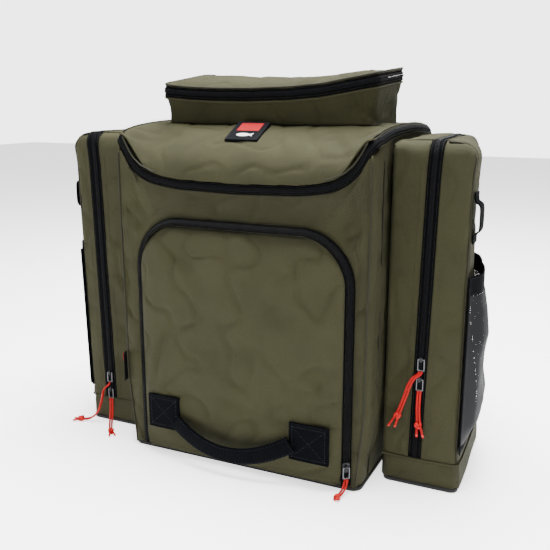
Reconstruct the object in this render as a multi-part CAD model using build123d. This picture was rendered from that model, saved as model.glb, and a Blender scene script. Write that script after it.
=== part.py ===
from build123d import *
from math import radians, tan
import os

os.makedirs("parts", exist_ok=True)

# Sizes in millimetres: +X to the wearer's left seen from the front, +Y to the wearer's back, +Z up.
HALF_W = 195
FRONT = -150
BACK = 150
CORNER = 16
WALL = 3
BASE = 5
LID_TOP = 488
FRONT_ZIP_Z = 405
CORNER_ZIP_Z = 457
REAR_ZIP_Z = 476
TAPE = 1.6
COIL = 3.0
HALF_GAP = 1.5
ZIP_REACH = 10
POCKET_FRONT = -98
POCKET_BACK = 90
POCKET_TOP = 472
POCKET_SEAM = 42
FLAP_HALF = 175
FLAP_LOW = 14
FLAP_TOP = 361
FLAP_SPLIT = -156
FLAP_COIL = 2.0
TOP_HALF = 166
TOP_FRONT = -70
TOP_BACK = 66
TOP_Z = 562
CORD = 3.0


def block(x0, x1, y0, y1, z0, z1):
    centre = ((x0 + x1) / 2, (y0 + y1) / 2, (z0 + z1) / 2)
    return Pos(*centre) * Box(abs(x1 - x0), abs(y1 - y0), abs(z1 - z0))


def plan_prism(x0, x1, y0, y1, radius, z0, z1):
    outline = RectangleRounded(x1 - x0, y1 - y0, radius)
    return Pos((x0 + x1) / 2, (y0 + y1) / 2, z0) * extrude(outline, amount=z1 - z0)


def front_face(points, radii):
    """A rounded outline given in X and Z."""
    return Plane.XZ * make_face(FilletPolyline(*points, radius=radii, close=True))


def front_prism(points, y0, y1, radii=None):
    """An outline in X and Z carried from y0 to y1."""
    if radii is None:
        face = Plane.XZ * make_face(Polyline(*points, close=True))
    else:
        face = front_face(points, radii)
    return Pos(0, y1, 0) * extrude(face, amount=y1 - y0)


def side_prism(points, x0, x1):
    """An outline in Y and Z carried from x0 to x1."""
    face = Plane.YZ * make_face(Polyline(*points, close=True))
    return Pos(x0, 0, 0) * extrude(face, amount=x1 - x0, dir=(1, 0, 0))


def tiles(shape, boxes):
    """The shape cut into plain pieces, so that each piece collides on its own."""
    pieces = []
    for box in boxes:
        pieces += (shape & box).solids()
    return pieces


def save(name, *shapes):
    solids = []
    for shape in shapes:
        if isinstance(shape, list):
            solids += shape
        else:
            solids += shape.solids()
    solids = [s for s in solids if s.volume > 1]
    export_step(Compound(solids), f"parts/{name}.step")
    print(name, len(solids), round(sum(s.volume for s in solids)))


# Main body: one rounded envelope, hollowed, then parted along the lid zip.
def envelope(inset):
    plan = plan_prism(
        -HALF_W + inset, HALF_W - inset, FRONT + inset, BACK - inset, CORNER - inset, inset, 600
    )
    profile = [
        (FRONT, 0),
        (FRONT, 402),
        (-146, 427),
        (-134, 449),
        (-114, 466),
        (-72, LID_TOP),
        (BACK, LID_TOP),
        (BACK, 0),
    ]
    outline = make_face(Polyline(*profile, close=True))
    if inset:
        outline = offset(outline, amount=-inset, kind=Kind.INTERSECTION)
    top = Pos(-220, 0, 0) * extrude(Plane.YZ * outline, amount=440, dir=(1, 0, 0))
    return plan & top


def front_band(low, high):
    """The strip between two heights above the front zip's line, which climbs at both corners."""
    line = [(-200, 461), (-137, FRONT_ZIP_Z), (137, FRONT_ZIP_Z), (200, 461)]
    lower = [(x, z + low) for x, z in line]
    upper = [(x, z + high) for x, z in reversed(line)]
    return front_prism(lower + upper, -151, -118)


def side_band(low, high, x0, x1):
    """The strip between two heights above the side zip's line, from the front corner to the rear."""
    line = [(-118, CORNER_ZIP_Z), (-72, 471), (BACK + 1, REAR_ZIP_Z)]
    lower = [(y, z + low) for y, z in line]
    upper = [(y, z + high) for y, z in reversed(line)]
    return side_prism(lower + upper, x0, x1)


def band(low, high):
    sides = side_band(low, high, -196, -178) + side_band(low, high, 178, 196)
    return front_band(low, high) + sides


outer = envelope(0)
shell = outer - envelope(WALL)
tape_skin = outer - envelope(TAPE)
coil_skin = outer - envelope(COIL)
tub_space = front_band(-500, -ZIP_REACH) + side_band(-500, -ZIP_REACH, -196, 196)
lid_space = front_band(ZIP_REACH, 300) + side_band(ZIP_REACH, 300, -196, 196)
lid_space += side_prism([(-118, 466 - 6), (-72, 480), (146, 480), (146, 520), (-118, 520)], -178, 178)

tub = (shell & tub_space) - block(-200, 200, -200, 200, 0, BASE)
front_edge = 179


def arch_face(half, low, top, radius, y):
    """An arch-topped panel outline standing at y."""
    points = [(-half, low), (-half, top), (half, top), (half, low)]
    outline = FilletPolyline(*points, radius=[2, radius, radius, 2], close=True)
    return Pos(0, y, 0) * (Plane.XZ * make_face(outline))


def pillow(inset):
    """The front pocket's raised flap: sloping zip edge first, then the softly domed face."""
    foot = arch_face(FLAP_HALF - inset, FLAP_LOW + inset, FLAP_TOP - inset, 75 - inset, FRONT)
    rim = arch_face(157 - inset, 26 + inset, 354 - inset, 66 - inset, -162 + inset)
    face = arch_face(140 - inset, 42 + inset, 338 - inset, 52 - inset, -167 + inset)
    return loft([foot, rim], ruled=True) + loft([rim, face], ruled=True)


arch_hole = Pos(0, 10, 0) * extrude(arch_face(FLAP_HALF, FLAP_LOW, FLAP_TOP, 75, FRONT), amount=20)
front_wall = (tub & block(-front_edge, front_edge, -151, -140, 0, 470)) - arch_hole
save(
    "front_panel",
    tiles(
        front_wall,
        [
            block(-180, 180, -151, -140, 286, 470),
            block(-180, 0, -151, -140, FLAP_LOW, 286),
            block(0, 180, -151, -140, FLAP_LOW, 286),
            block(-180, 180, -151, -140, 0, FLAP_LOW),
        ],
    ),
)
divider = block(-191.9, 191.9, -131, -128, BASE, 392)
divider_roof = block(-178.5, 178.5, -146.9, -131, 378, 381)
save("front_divider", divider, divider_roof)
for name, sign in (("left", -1), ("right", 1)):
    side_tiles = [
        block(sign * front_edge, sign * 200, -151, -134, 0, 480),
        block(sign * front_edge, sign * 200, -134, 134, 0, 480),
        block(sign * front_edge, sign * 200, 134, 151, 0, 480),
    ]
    save(f"side_panel_{name}", tiles(tub, side_tiles))
back_wall = shell & block(-front_edge, front_edge, 140, 151, BASE, 484.5)
save("back_panel", back_wall)

# Base: one black moulded tray under the body and one under each side pocket.
base_main = plan_prism(-HALF_W, HALF_W, FRONT, BACK, CORNER, 0, BASE)
base_main = chamfer(base_main.edges().group_by(Axis.Z)[0], 1.5)

# Lid zip: each half is a tape with a coil along its inner edge.
rear_stop = block(-200, 200, -151, 138, 380, 500)
zip_tiles = [
    block(-137, 137, -151, -118, 380, 500),
    block(-200, -137, -151, -118, 380, 500),
    block(137, 200, -151, -118, 380, 500),
    block(-200, -100, -118, 138, 380, 500),
    block(100, 200, -118, 138, 380, 500),
]


def zip_half(tape_shell, coil_shell, tape_band, coil_band):
    return (tape_shell & tape_band) + (coil_shell & coil_band)


lower_half = zip_half(tape_skin, coil_skin, band(-ZIP_REACH, -HALF_GAP), band(-3.7, -HALF_GAP))
upper_half = zip_half(tape_skin, coil_skin, band(HALF_GAP, ZIP_REACH), band(HALF_GAP, 3.7))
save("lid_zip_lower", tiles(lower_half, zip_tiles))
save("lid_zip_upper", tiles(upper_half & rear_stop, zip_tiles))

# Lid: front lip, slope and top plate.
lid = (shell & lid_space) - upper_half - block(-200, 200, 146.5, 151, 300, 484.9)
lid = lid & block(-200, 200, -151, 149.7, 300, 500)
lid_tiles = [
    block(-200, 200, -151, -118, 380, 500),
    block(-200, 200, -118, -72, 380, 500),
    block(-200, 200, -72, 151, 380, 500),
]
save("lid_panel", tiles(lid, lid_tiles))

# Name patch on the lid's slope, plain.
slope = Plane(origin=(-6, -93, 477), x_dir=(1, 0, 0), z_dir=(0, -22, 42))
patch = extrude(RectangleRounded(46, 44, 2), amount=1.2)
save("label_patch", slope * Pos(0, 0, 0.05) * patch)


# Top pocket: a shallow box on the lid, parted by a plane that rises to its rear hinge.
def top_block(inset):
    plan = plan_prism(
        -TOP_HALF + inset, TOP_HALF - inset, TOP_FRONT + inset, TOP_BACK - inset, 18 - inset, 0, 600
    )
    profile = [
        (TOP_FRONT, 400),
        (TOP_FRONT, 540),
        (-58, 554),
        (-30, TOP_Z),
        (40, TOP_Z),
        (TOP_BACK, 556),
        (TOP_BACK, 400),
    ]
    outline = offset(make_face(Polyline(*profile, close=True)), amount=-inset, kind=Kind.INTERSECTION)
    top = Pos(-220, 0, 0) * extrude(Plane.YZ * outline, amount=440, dir=(1, 0, 0))
    return plan & top


def top_space(low, high):
    front = 528
    rear = 550
    points = [
        (-90, front + low),
        (80, rear + low),
        (80, rear + high),
        (-90, front + high),
    ]
    return side_prism(points, -200, 200)


top_outer = top_block(0)
top_shell = top_outer - top_block(2.5)
top_tape = top_outer - top_block(TAPE)
top_coil = top_outer - top_block(COIL)
above_lid = block(-200, 200, -90, 80, LID_TOP, 600)
zip_run = block(-200, 200, -90, 52, 480, 600)
top_walls = [
    block(-150, 150, -90, -40, 480, 600),
    block(-200, -150, -90, 80, 480, 600),
    block(150, 200, -90, 80, 480, 600),
    block(-150, 150, -40, 80, 480, 600),
]
top_lower_zip = zip_half(top_tape, top_coil, top_space(-ZIP_REACH, -1.5), top_space(-3.7, -1.5)) & zip_run
top_upper_zip = zip_half(top_tape, top_coil, top_space(1.5, ZIP_REACH), top_space(1.5, 3.7)) & zip_run
save("top_zip_lower", tiles(top_lower_zip, top_walls))
save("top_zip_upper", tiles(top_upper_zip, top_walls))
floor_plate = plan_prism(-163.4, 163.4, -67.4, 63.4, 15, LID_TOP, LID_TOP + 2)
lower_wall = (top_shell & top_space(-200, 0) & above_lid) - (zip_run & top_space(-ZIP_REACH, 0))
lower_wall -= block(-200, 200, 52, 80, 549, 600) + top_space(-0.4, 0)
save("top_pocket_shell", tiles(lower_wall, top_walls), floor_plate)
upper_wall = (top_shell & top_space(0.4, 200)) - (zip_run & top_space(0, ZIP_REACH))
save("top_pocket_lid", upper_wall)


# Side pockets: an inner half and base band on the body, and an outer half that opens as a door.
def side_pocket(name, sign, zip_low, zip_top, outer_top):
    def outline(inset):
        points = [
            (sign * (197 + inset), inset),
            (sign * (197 + inset), POCKET_TOP - inset),
            (sign * (outer_top - inset), POCKET_TOP - inset),
            (sign * (306 - inset), inset),
        ]
        radii = [8 - inset, 10 - inset, 27 - inset, 9 - inset]
        prism = front_prism(points, POCKET_FRONT + inset, POCKET_BACK - inset, radii)
        ends = sorted((sign * (197 + inset), sign * (320 - inset)))
        plan = plan_prism(*ends, POCKET_FRONT + inset, POCKET_BACK - inset, 10 - inset, -1, 500)
        return prism & plan

    def strip(low, high):
        """The strip between two distances outboard of the zip's centre line, above the seam."""
        lean = (zip_top - zip_low) / (POCKET_TOP - POCKET_SEAM)
        top_x = zip_top + 10 * lean
        points = [
            (sign * (zip_low + low), POCKET_SEAM),
            (sign * (zip_low + high), POCKET_SEAM),
            (sign * (top_x + high), POCKET_TOP + 10),
            (sign * (top_x + low), POCKET_TOP + 10),
        ]
        return front_prism(points, -120, 120)

    def across(x0, x1, y0, y1, z0, z1):
        return block(sign * x0, sign * x1, y0, y1, z0, z1)

    pocket = outline(0)
    pocket_shell = pocket - outline(2.5)
    pocket_tape = pocket - outline(TAPE)
    pocket_coil = pocket - outline(COIL)
    above = across(190, 330, -110, 110, BASE, 480)
    inner = pocket_shell & above & (strip(-200, -ZIP_REACH) + across(190, 330, -110, 110, BASE, POCKET_SEAM))
    pieces = [
        across(190, 209, -110, 110, BASE, 480),
        across(209, 330, -110, -50, POCKET_SEAM, 455),
        across(209, 330, 50, 110, POCKET_SEAM, 455),
        across(209, 330, -110, 110, 455, 480),
        across(209, 330, -110, -80, BASE, POCKET_SEAM),
        across(209, 330, 72, 110, BASE, POCKET_SEAM),
        across(290, 330, -80, 72, BASE, POCKET_SEAM),
        across(209, 290, -80, 72, BASE, POCKET_SEAM),
    ]
    save(f"side_shell_{name}", tiles(inner, pieces))
    zip_pieces = [
        across(190, 330, -110, -80, POCKET_SEAM, 455),
        across(190, 330, 70, 110, POCKET_SEAM, 455),
        across(190, 330, -110, 110, 455, 480),
    ]
    fixed = zip_half(pocket_tape, pocket_coil, strip(-ZIP_REACH, -1.5), strip(-3.7, -1.5))
    moving = zip_half(pocket_tape, pocket_coil, strip(1.5, ZIP_REACH), strip(1.5, 3.7))
    clear = across(190, 330, -110, 110, POCKET_SEAM + 0.5, 480)
    save(f"side_zip_fixed_{name}", tiles(fixed & clear, zip_pieces))
    save(f"side_zip_moving_{name}", tiles(moving & clear, zip_pieces))
    door = pocket_shell & clear & strip(ZIP_REACH, 200)
    door_pieces = [
        across(190, 330, -110, -80, POCKET_SEAM, 440),
        across(190, 330, 72, 110, POCKET_SEAM, 440),
        across(190, 330, -110, 110, 440, 480),
        across(285, 330, -80, 72, POCKET_SEAM, 440),
    ]
    save(f"side_door_{name}", tiles(door, door_pieces))
    base = pocket & across(190, 330, -110, 110, 0, BASE)

    # Mesh pocket on the door's outer face, with a woven hem round its mouth.
    lean = (outer_top - 306) / POCKET_TOP

    def face_x(z):
        return 306 + lean * z

    def mesh_block(inset):
        points = [
            (sign * (face_x(60) - 4), 60 + inset),
            (sign * (face_x(60) + 3 - inset), 60 + inset),
            (sign * (face_x(100) + 18 - inset), 104),
            (sign * (face_x(215) + 22 - inset), 215),
            (sign * (face_x(300) + 14 - inset), 300),
            (sign * (face_x(300) - 4), 300),
        ]
        prism = front_prism(points, -94 + inset, 84 - inset)
        ends = sorted((sign * 270, sign * (outer_top + 26 - inset)))
        return prism & plan_prism(*ends, -94 + inset, 84 - inset, 18 - inset, 50, 310)

    mesh = mesh_block(0) - mesh_block(1.2) - pocket
    mesh_body = mesh & across(200, 350, -110, 110, 50, 275)
    mesh_pieces = [
        across(200, 350, -110, -80, 104, 275),
        across(200, 350, 70, 110, 104, 275),
        across(200, 350, -80, 70, 104, 275),
        across(200, 350, -110, 110, 50, 104),
    ]
    save(f"mesh_pocket_{name}", tiles(mesh_body, mesh_pieces))
    hem = (mesh_block(0) - mesh_block(2.2) - pocket) & across(200, 350, -110, 110, 275, 300)
    hem_pieces = [
        across(200, 350, -110, -80, 275, 300),
        across(200, 350, 70, 110, 275, 300),
        across(200, 350, -80, 70, 275, 300),
    ]
    save(f"mesh_hem_{name}", tiles(hem, hem_pieces))

    # Accessory loop sewn to the door above the mesh pocket.
    root = face_x(376)
    loop_points = [(root - 1, 356), (root + 11, 361), (root + 11, 392), (root - 1, 397)]
    loop_outer = front_prism([(sign * x, z) for x, z in loop_points], -90, -65, [0.5, 5, 5, 0.5])
    hole_points = [(root - 1, 360), (root + 9, 363.5), (root + 9, 389.5), (root - 1, 393)]
    loop_hole = front_prism([(sign * x, z) for x, z in hole_points], -91, -64, [0.5, 3, 3, 0.5])
    save(f"accessory_loop_{name}", loop_outer - loop_hole - pocket)
    return base


base_right = side_pocket("right", 1, 246, 256, 306)
base_left = side_pocket("left", -1, 262, 272, 316)
save("base_board", base_main, base_left, base_right)

# Front pocket flap with its zip, parted parallel to the front.
flap_outer = pillow(0)
flap_shell = flap_outer - pillow(2.5)
flap_tape = flap_outer - pillow(TAPE)
flap_coil = flap_outer - pillow(FLAP_COIL)
bottom_edge = block(-156, 156, -170, -140, 0, 30)
fixed_rim = block(-200, 200, FLAP_SPLIT + 2.7, FRONT, 0, 400)
moving_rim = block(-200, 200, -162, FLAP_SPLIT - 0.9, 0, 400)
fixed_coil = block(-200, 200, FLAP_SPLIT + 2.7, FLAP_SPLIT + 4, 0, 400)
moving_coil = block(-200, 200, FLAP_SPLIT - 2.3, FLAP_SPLIT - 0.9, 0, 400)
flap_tiles = [
    block(-200, -120, -170, -149, 12, 286),
    block(120, 200, -170, -149, 12, 286),
    block(-200, 0, -170, -149, 286, 370),
    block(0, 200, -170, -149, 286, 370),
]
front_fixed = zip_half(flap_tape, flap_coil, fixed_rim, fixed_coil) - bottom_edge
front_moving = zip_half(flap_tape, flap_coil, moving_rim, moving_coil) - bottom_edge
side_gap = block(-158, -156, -170, -140, 0, 30) + block(156, 158, -170, -140, 0, 30)
save("front_zip_fixed", tiles(front_fixed - side_gap, flap_tiles))
save("front_zip_moving", tiles(front_moving - side_gap, flap_tiles))
flap_face = flap_shell & block(-200, 200, -170, -162, 0, 400)
flap_foot = flap_shell & block(-156, 156, -162, FRONT - 0.4, 0, 30)
save("front_flap", flap_face, flap_foot)

# Front grab handle: folded webbing between two sewn patches.
patch_y = -167
handle_patches = []
for x0, x1 in ((-147, -94), (88, 146)):
    handle_patches.append(block(x0, x1, patch_y - 2, patch_y, 44, 96))
save("handle_patches", handle_patches[0], handle_patches[1])


def smile(depth_mid, depth_end, half, thickness):
    """A drooping band's outline between its two ends."""
    lower = ThreePointArc((-half, depth_end), (0, depth_mid), (half, depth_end))
    upper = ThreePointArc((half, depth_end + thickness), (0, depth_mid + thickness), (-half, depth_end + thickness))
    left = Line((-half, depth_end + thickness), (-half, depth_end))
    right = Line((half, depth_end), (half, depth_end + thickness))
    return make_face(Curve() + [lower, right, upper, left])


handle_front = Pos(0, -150, 0) * extrude(Plane.XZ * smile(21, 50, 92, 25), amount=60)
handle_plan = Pos(0, 0, 10) * extrude(smile(-187, -174.6, 92, 5), amount=90)
save("front_handle", handle_front & handle_plan)

# Side tag caught in the left front seam, plain.
save("seam_label", block(-192, -189, -159.5, -150.1, 105, 150))

# Carrying side: back pads, shoulder straps, webbing and ladder locks.
pads = []
for x in (-82, 82):
    pad = plan_prism(x - 58, x + 58, 0, 320, 24, 0, 16)
    pad = Pos(0, BACK + 16.3, 90) * Rot(90, 0, 0) * pad
    pads.append(chamfer(pad.faces().sort_by(Axis.Y)[-1].edges(), 5))
save("back_pads", pads[0], pads[1])
strap_line = [(150.2, 462), (176, 466), (208, 420), (214, 330), (205, 230), (192, 172)]
web_line = [(192, 150), (178, 100), (150.2, 48)]


def strap_solid(points, thickness, width, x):
    wire = FilletPolyline(*points, radius=8)
    face = make_face(offset(wire, amount=thickness / 2, side=Side.BOTH))
    face = Plane.YZ * face
    return Pos(x - width / 2, 0, 0) * extrude(face, amount=width, dir=(1, 0, 0))


straps = []
webs = []
locks = []
behind = block(-300, 300, BACK + 0.1, 300, 0, 500)
for sign in (-1, 1):
    strap = strap_solid(strap_line, 13, 68, sign * 92) & behind
    straps.append(strap)
    webs.append(strap_solid(web_line, 2, 25, sign * 92) & behind)
    webs.append(block(sign * 92 - 40, sign * 92 + 40, BACK + 0.05, BACK + 2, 472, 482))
    lock = block(sign * 92 - 18, sign * 92 + 18, 187, 197, 148, 171)
    lock -= block(sign * 92 - 13.5, sign * 92 + 13.5, 180, 200, 152, 156)
    lock -= block(sign * 92 - 13.5, sign * 92 + 13.5, 180, 200, 160, 164)
    locks.append(lock)
save("shoulder_straps", straps[0] - pads[0] - pads[1], straps[1] - pads[0] - pads[1])
web_cut = pads[0] + pads[1] + locks[0] + locks[1] + straps[0] + straps[1]
save("strap_webbing", [s for w in webs for s in (w - web_cut).solids()])
save("ladder_locks", locks[0] - straps[0], locks[1] - straps[1])
haul = Pos(0, 150.1, 0) * extrude(Plane.XZ * smile(436, 452, 30, 22), amount=-40)
haul_plan = Pos(0, 0, 430) * extrude(Rot(0, 0, 180) * smile(-170, -153.4, 30, 3), amount=60)
save("haul_handle", haul & haul_plan)


# Zip sliders, wire pullers and cord pulls, built about the slider's centre.
def slider_body(ride, coil, turn):
    """Outer plate over both halves, neck in the gap and inner plate under the half it rides on."""
    top = plan_prism(-5, 5, -7, 7, 3, 0.4, 2.6)
    neck = block(-0.8, 0.8, -3, 3, -coil - 0.6, 0.4)
    ends = sorted((ride * 5, ride * -0.8))
    under = block(ends[0], ends[1], -6, 6, -coil - 1.9, -coil - 0.4)
    bail = plan_prism(-1.6, 1.6, -3.5, 3.5, 1, 2.6, 6.2) - Pos(0, 0, 4.4) * Rot(0, 90, 0) * Cylinder(0.85, 8)
    return top + neck + under + Rot(0, 0, turn) * bail


def wire_puller():
    bar = Pos(0, 0, 4.4) * Rot(0, 90, 0) * Cylinder(0.8, 8.4)
    foot = Pos(0, -15, 4.4) * Rot(0, 90, 0) * Cylinder(0.8, 8.4)
    ring = bar + foot
    for x in (-4.2, 4.2):
        ring += Pos(x, -7.5, 4.4) * Rot(90, 0, 0) * Cylinder(0.8, 15)
        ring += Pos(x, 0, 4.4) * Sphere(0.8)
        ring += Pos(x, -15, 4.4) * Sphere(0.8)
    return ring


def cord_tube(points):
    """Straight runs joined by tangent arcs, swept with the cord's section."""
    legs = [(Vector(*b) - Vector(*a)).length for a, b in zip(points, points[1:])]
    radii = []
    for a, b, c, l0, l1 in zip(points, points[1:], points[2:], legs, legs[1:]):
        turn = (Vector(*b) - Vector(*a)).get_angle(Vector(*c) - Vector(*b))
        radii.append(0.45 * min(l0, l1) / tan(radians(max(turn, 2) / 2)))
    wire = FilletPolyline(*points, radius=radii) if radii else Line(*points)
    section = Plane(wire @ 0, z_dir=wire % 0) * Circle(CORD / 2)
    tube = sweep(section, path=wire)
    print("cord", round(wire.length, 1), round(tube.volume / wire.length, 3), [round(r, 1) for r in radii])
    return tube


def pull_cord(name, strands, knot, tails, knot_radius):
    pieces = [cord_tube(points) for points in strands]
    pieces.append(Pos(*knot) * Sphere(knot_radius))
    for tail in tails:
        pieces.append(cord_tube(tail))
    total = pieces[0]
    for piece in pieces[1:]:
        total += piece
    save(name, total)


# Each row: name, centre on the zip, direction across it, outward normal, side it rides on.
ACROSS_R = (1, 0, 0)
OUT_FRONT = (0, -1, 0)
slope_out = (0.555, -0.832, 0)
slope_across = (0.832, 0.555, 0)


def side_zip_x(sign, zip_low, zip_top, z):
    return sign * (zip_low + (zip_top - zip_low) * (z - POCKET_SEAM) / (POCKET_TOP - POCKET_SEAM))


def right_x(z):
    return side_zip_x(1, 246, 256, z)


def left_x(z):
    return side_zip_x(-1, 262, 272, z)


sliders = [
    ("side_right_upper", (right_x(186), POCKET_FRONT, 186), ACROSS_R, OUT_FRONT, -1),
    ("side_right_lower", (right_x(158), POCKET_FRONT, 158), ACROSS_R, OUT_FRONT, -1),
    ("side_left_upper", (left_x(86), POCKET_FRONT, 86), ACROSS_R, OUT_FRONT, 1),
    ("side_left_lower", (left_x(58), POCKET_FRONT, 58), ACROSS_R, OUT_FRONT, 1),
    ("front", (166, FLAP_SPLIT, 38), slope_across, slope_out, -1),
    ("lid", (-HALF_W, 130.5, 475.54), (0, -0.0225, 1), (-1, 0, 0), 1),
    ("top", (-TOP_HALF, 20, 542.24), (0, -0.13, 1), (-1, 0, 0), 1),
]
for name, centre, x_dir, normal, ride in sliders:
    spot = Plane(origin=centre, x_dir=x_dir, z_dir=normal)
    coil = FLAP_COIL if name == "front" else COIL
    turn = -90 if name in ("lid", "top") else 0
    save(f"slider_{name}", spot * slider_body(ride, coil, turn))
    save(f"puller_{name}", spot * Rot(0, 0, turn) * wire_puller())


HANG_Y = POCKET_FRONT - 4.4


def beside(route, side, width_dir):
    """The route moved half a cord pair to one side."""
    return [(x + side * width_dir[0], y + side * width_dir[1], z) for x, y, z in route]


def doubled(name, route, width_dir, tail, knot_radius=5.0):
    """Two strands side by side along one route, with a knot and two short tails."""
    strands = [beside(route, side, width_dir) for side in (-1.75, 1.75)]
    end = route[-1]
    tails = []
    for side in (-1.75, 1.75):
        start = beside([end], side, width_dir)[0]
        far = (end[0] + tail[0], end[1] + tail[1], end[2] + tail[2])
        tails.append([start, beside([far], side * 2.6, width_dir)[0]])
    knot = (end[0], end[1], max(end[2], 5.2))
    pull_cord(name, strands, knot, tails if any(tail) else [], knot_radius)


x = right_x(186)
route = [
    (x, HANG_Y, 169.6),
    (x - 0.4, HANG_Y - 1, 166),
    (x - 11, -108, 159),
    (x - 19, -109, 130),
    (x - 28, -106, 104),
]
doubled("pull_cord_side_right_upper", route, (1, 0), (-8, -1, -18))
x = right_x(158)
route = [(x, HANG_Y, 142), (x - 0.6, -104.6, 120), (x + 1.5, -105, 94)]
doubled("pull_cord_side_right_lower", route, (1, 0), (3, -1, -17))
x = left_x(86)
route = [
    (x, HANG_Y, 69.6),
    (x - 0.4, HANG_Y - 1, 66),
    (x - 10, -108, 59),
    (x - 13, -110, 38),
    (x - 20, -113, 16),
    (x - 34, -117, 4.2),
    (x - 48, -122, 4.2),
]
doubled("pull_cord_side_left_upper", route, (0.3, -0.95), (-12, -5, -1.2))
x = left_x(58)
route = [
    (x, HANG_Y, 42),
    (x + 0.5, HANG_Y - 0.5, 36),
    (x + 3, -107, 22),
    (x + 9, -119, 6),
    (x + 20, -134, 4.2),
    (x + 27, -142, 4.2),
]
doubled("pull_cord_side_left_lower", route, (0.74, 0.67), (9, -9, -1.2))
x = 166 + 4.4 * 0.555
y = FLAP_SPLIT - 4.4 * 0.832
route = [(x, y, 21.8), (x, y - 2, 13), (x - 3, y - 12, 5), (x - 5, y - 22, 4.2)]
doubled("pull_cord_front", route, (1, 0), (0, 0, 0))
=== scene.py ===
import bpy
import math
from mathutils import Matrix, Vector, noise


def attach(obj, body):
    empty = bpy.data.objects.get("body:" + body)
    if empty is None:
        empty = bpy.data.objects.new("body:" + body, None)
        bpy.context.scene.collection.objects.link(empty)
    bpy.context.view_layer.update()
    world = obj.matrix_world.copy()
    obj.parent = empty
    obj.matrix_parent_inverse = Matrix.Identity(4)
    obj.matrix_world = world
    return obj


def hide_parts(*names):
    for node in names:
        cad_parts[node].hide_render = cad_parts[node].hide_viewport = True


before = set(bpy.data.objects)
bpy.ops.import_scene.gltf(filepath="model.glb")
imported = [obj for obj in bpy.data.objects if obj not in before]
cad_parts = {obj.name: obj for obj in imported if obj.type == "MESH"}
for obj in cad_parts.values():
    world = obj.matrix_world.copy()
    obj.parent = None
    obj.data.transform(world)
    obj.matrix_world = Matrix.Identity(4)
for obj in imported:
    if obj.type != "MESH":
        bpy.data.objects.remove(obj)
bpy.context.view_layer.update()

# All lengths in this script are millimetres until a mesh is made.
MM = 0.001


def lerp(a, b, t):
    return a + (b - a) * t


def clamp(t, lo=0.0, hi=1.0):
    return max(lo, min(hi, t))


def smooth(a, b, t):
    """0 before a, 1 after b, easing between."""
    t = clamp((t - a) / (b - a))
    return t * t * (3 - 2 * t)


def table_value(table, t):
    """Straight-line reading of a short list of (place, value) pairs."""
    if t <= table[0][0]:
        return table[0][1]
    for (a, va), (b, vb) in zip(table, table[1:]):
        if t <= b:
            return lerp(va, vb, (t - a) / (b - a))
    return table[-1][1]


# ---------------------------------------------------------------- materials
def new_material(name, color, rough, specular=0.18):
    mat = bpy.data.materials.new(name)
    mat.use_nodes = True
    shader = mat.node_tree.nodes["Principled BSDF"]
    shader.inputs["Base Color"].default_value = (*color, 1)
    shader.inputs["Roughness"].default_value = rough
    shader.inputs["Specular IOR Level"].default_value = specular
    return mat, mat.node_tree, shader


def add_node(tree, kind, **values):
    node = tree.nodes.new(kind)
    for key, value in values.items():
        if key in node.inputs:
            node.inputs[key].default_value = value
        else:
            setattr(node, key, value)
    return node


def weave(name, color, rough, pitch, strength, mottle=0.12, sheen=0.25, ribs=False, specular=0.18):
    """Woven cloth: threads in the bump, from the UV map in metres, and a mottle in the colour."""
    mat, tree, shader = new_material(name, color, rough, specular)
    link = tree.links.new
    coords = add_node(tree, "ShaderNodeUVMap")
    turns = 0.314 / (pitch * MM)
    across = add_node(tree, "ShaderNodeTexWave", wave_type="BANDS", bands_direction="X")
    along = add_node(tree, "ShaderNodeTexWave", wave_type="BANDS", bands_direction="Y")
    for wave, scale in ((across, 1.0), (along, 0.45 if ribs else 1.0)):
        wave.inputs["Scale"].default_value = turns * scale
        wave.inputs["Distortion"].default_value = 0.6
        wave.inputs["Detail Scale"].default_value = 2.0
        link(coords.outputs["UV"], wave.inputs["Vector"])
    threads = add_node(tree, "ShaderNodeMath", operation="MULTIPLY")
    link(across.outputs["Fac"], threads.inputs[0])
    link(along.outputs["Fac"], threads.inputs[1])
    bump = add_node(tree, "ShaderNodeBump", Strength=strength, Distance=0.0006)
    link(threads.outputs[0], bump.inputs["Height"])
    link(bump.outputs["Normal"], shader.inputs["Normal"])
    place = add_node(tree, "ShaderNodeTexCoord")
    blotch = add_node(tree, "ShaderNodeTexNoise", Scale=14.0, Detail=5.0, Roughness=0.6)
    link(place.outputs["Object"], blotch.inputs["Vector"])
    fine = add_node(tree, "ShaderNodeTexNoise", Scale=520.0, Detail=2.0)
    link(place.outputs["Object"], fine.inputs["Vector"])
    both = add_node(tree, "ShaderNodeMath", operation="ADD")
    link(blotch.outputs["Fac"], both.inputs[0])
    link(fine.outputs["Fac"], both.inputs[1])
    ramp = add_node(tree, "ShaderNodeMapRange")
    ramp.inputs["From Min"].default_value = 0.6
    ramp.inputs["From Max"].default_value = 1.4
    ramp.inputs["To Min"].default_value = 1 - mottle
    ramp.inputs["To Max"].default_value = 1 + mottle
    link(both.outputs[0], ramp.inputs["Value"])
    tint = add_node(tree, "ShaderNodeVectorMath", operation="SCALE")
    tint.inputs[0].default_value = color
    link(ramp.outputs["Result"], tint.inputs["Scale"])
    link(tint.outputs["Vector"], shader.inputs["Base Color"])
    shader.inputs["Sheen Weight"].default_value = sheen
    shader.inputs["Sheen Roughness"].default_value = 0.5
    shader.inputs["Sheen Tint"].default_value = (*[min(1, c * 2 + 0.1) for c in color], 1)
    return mat


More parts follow.
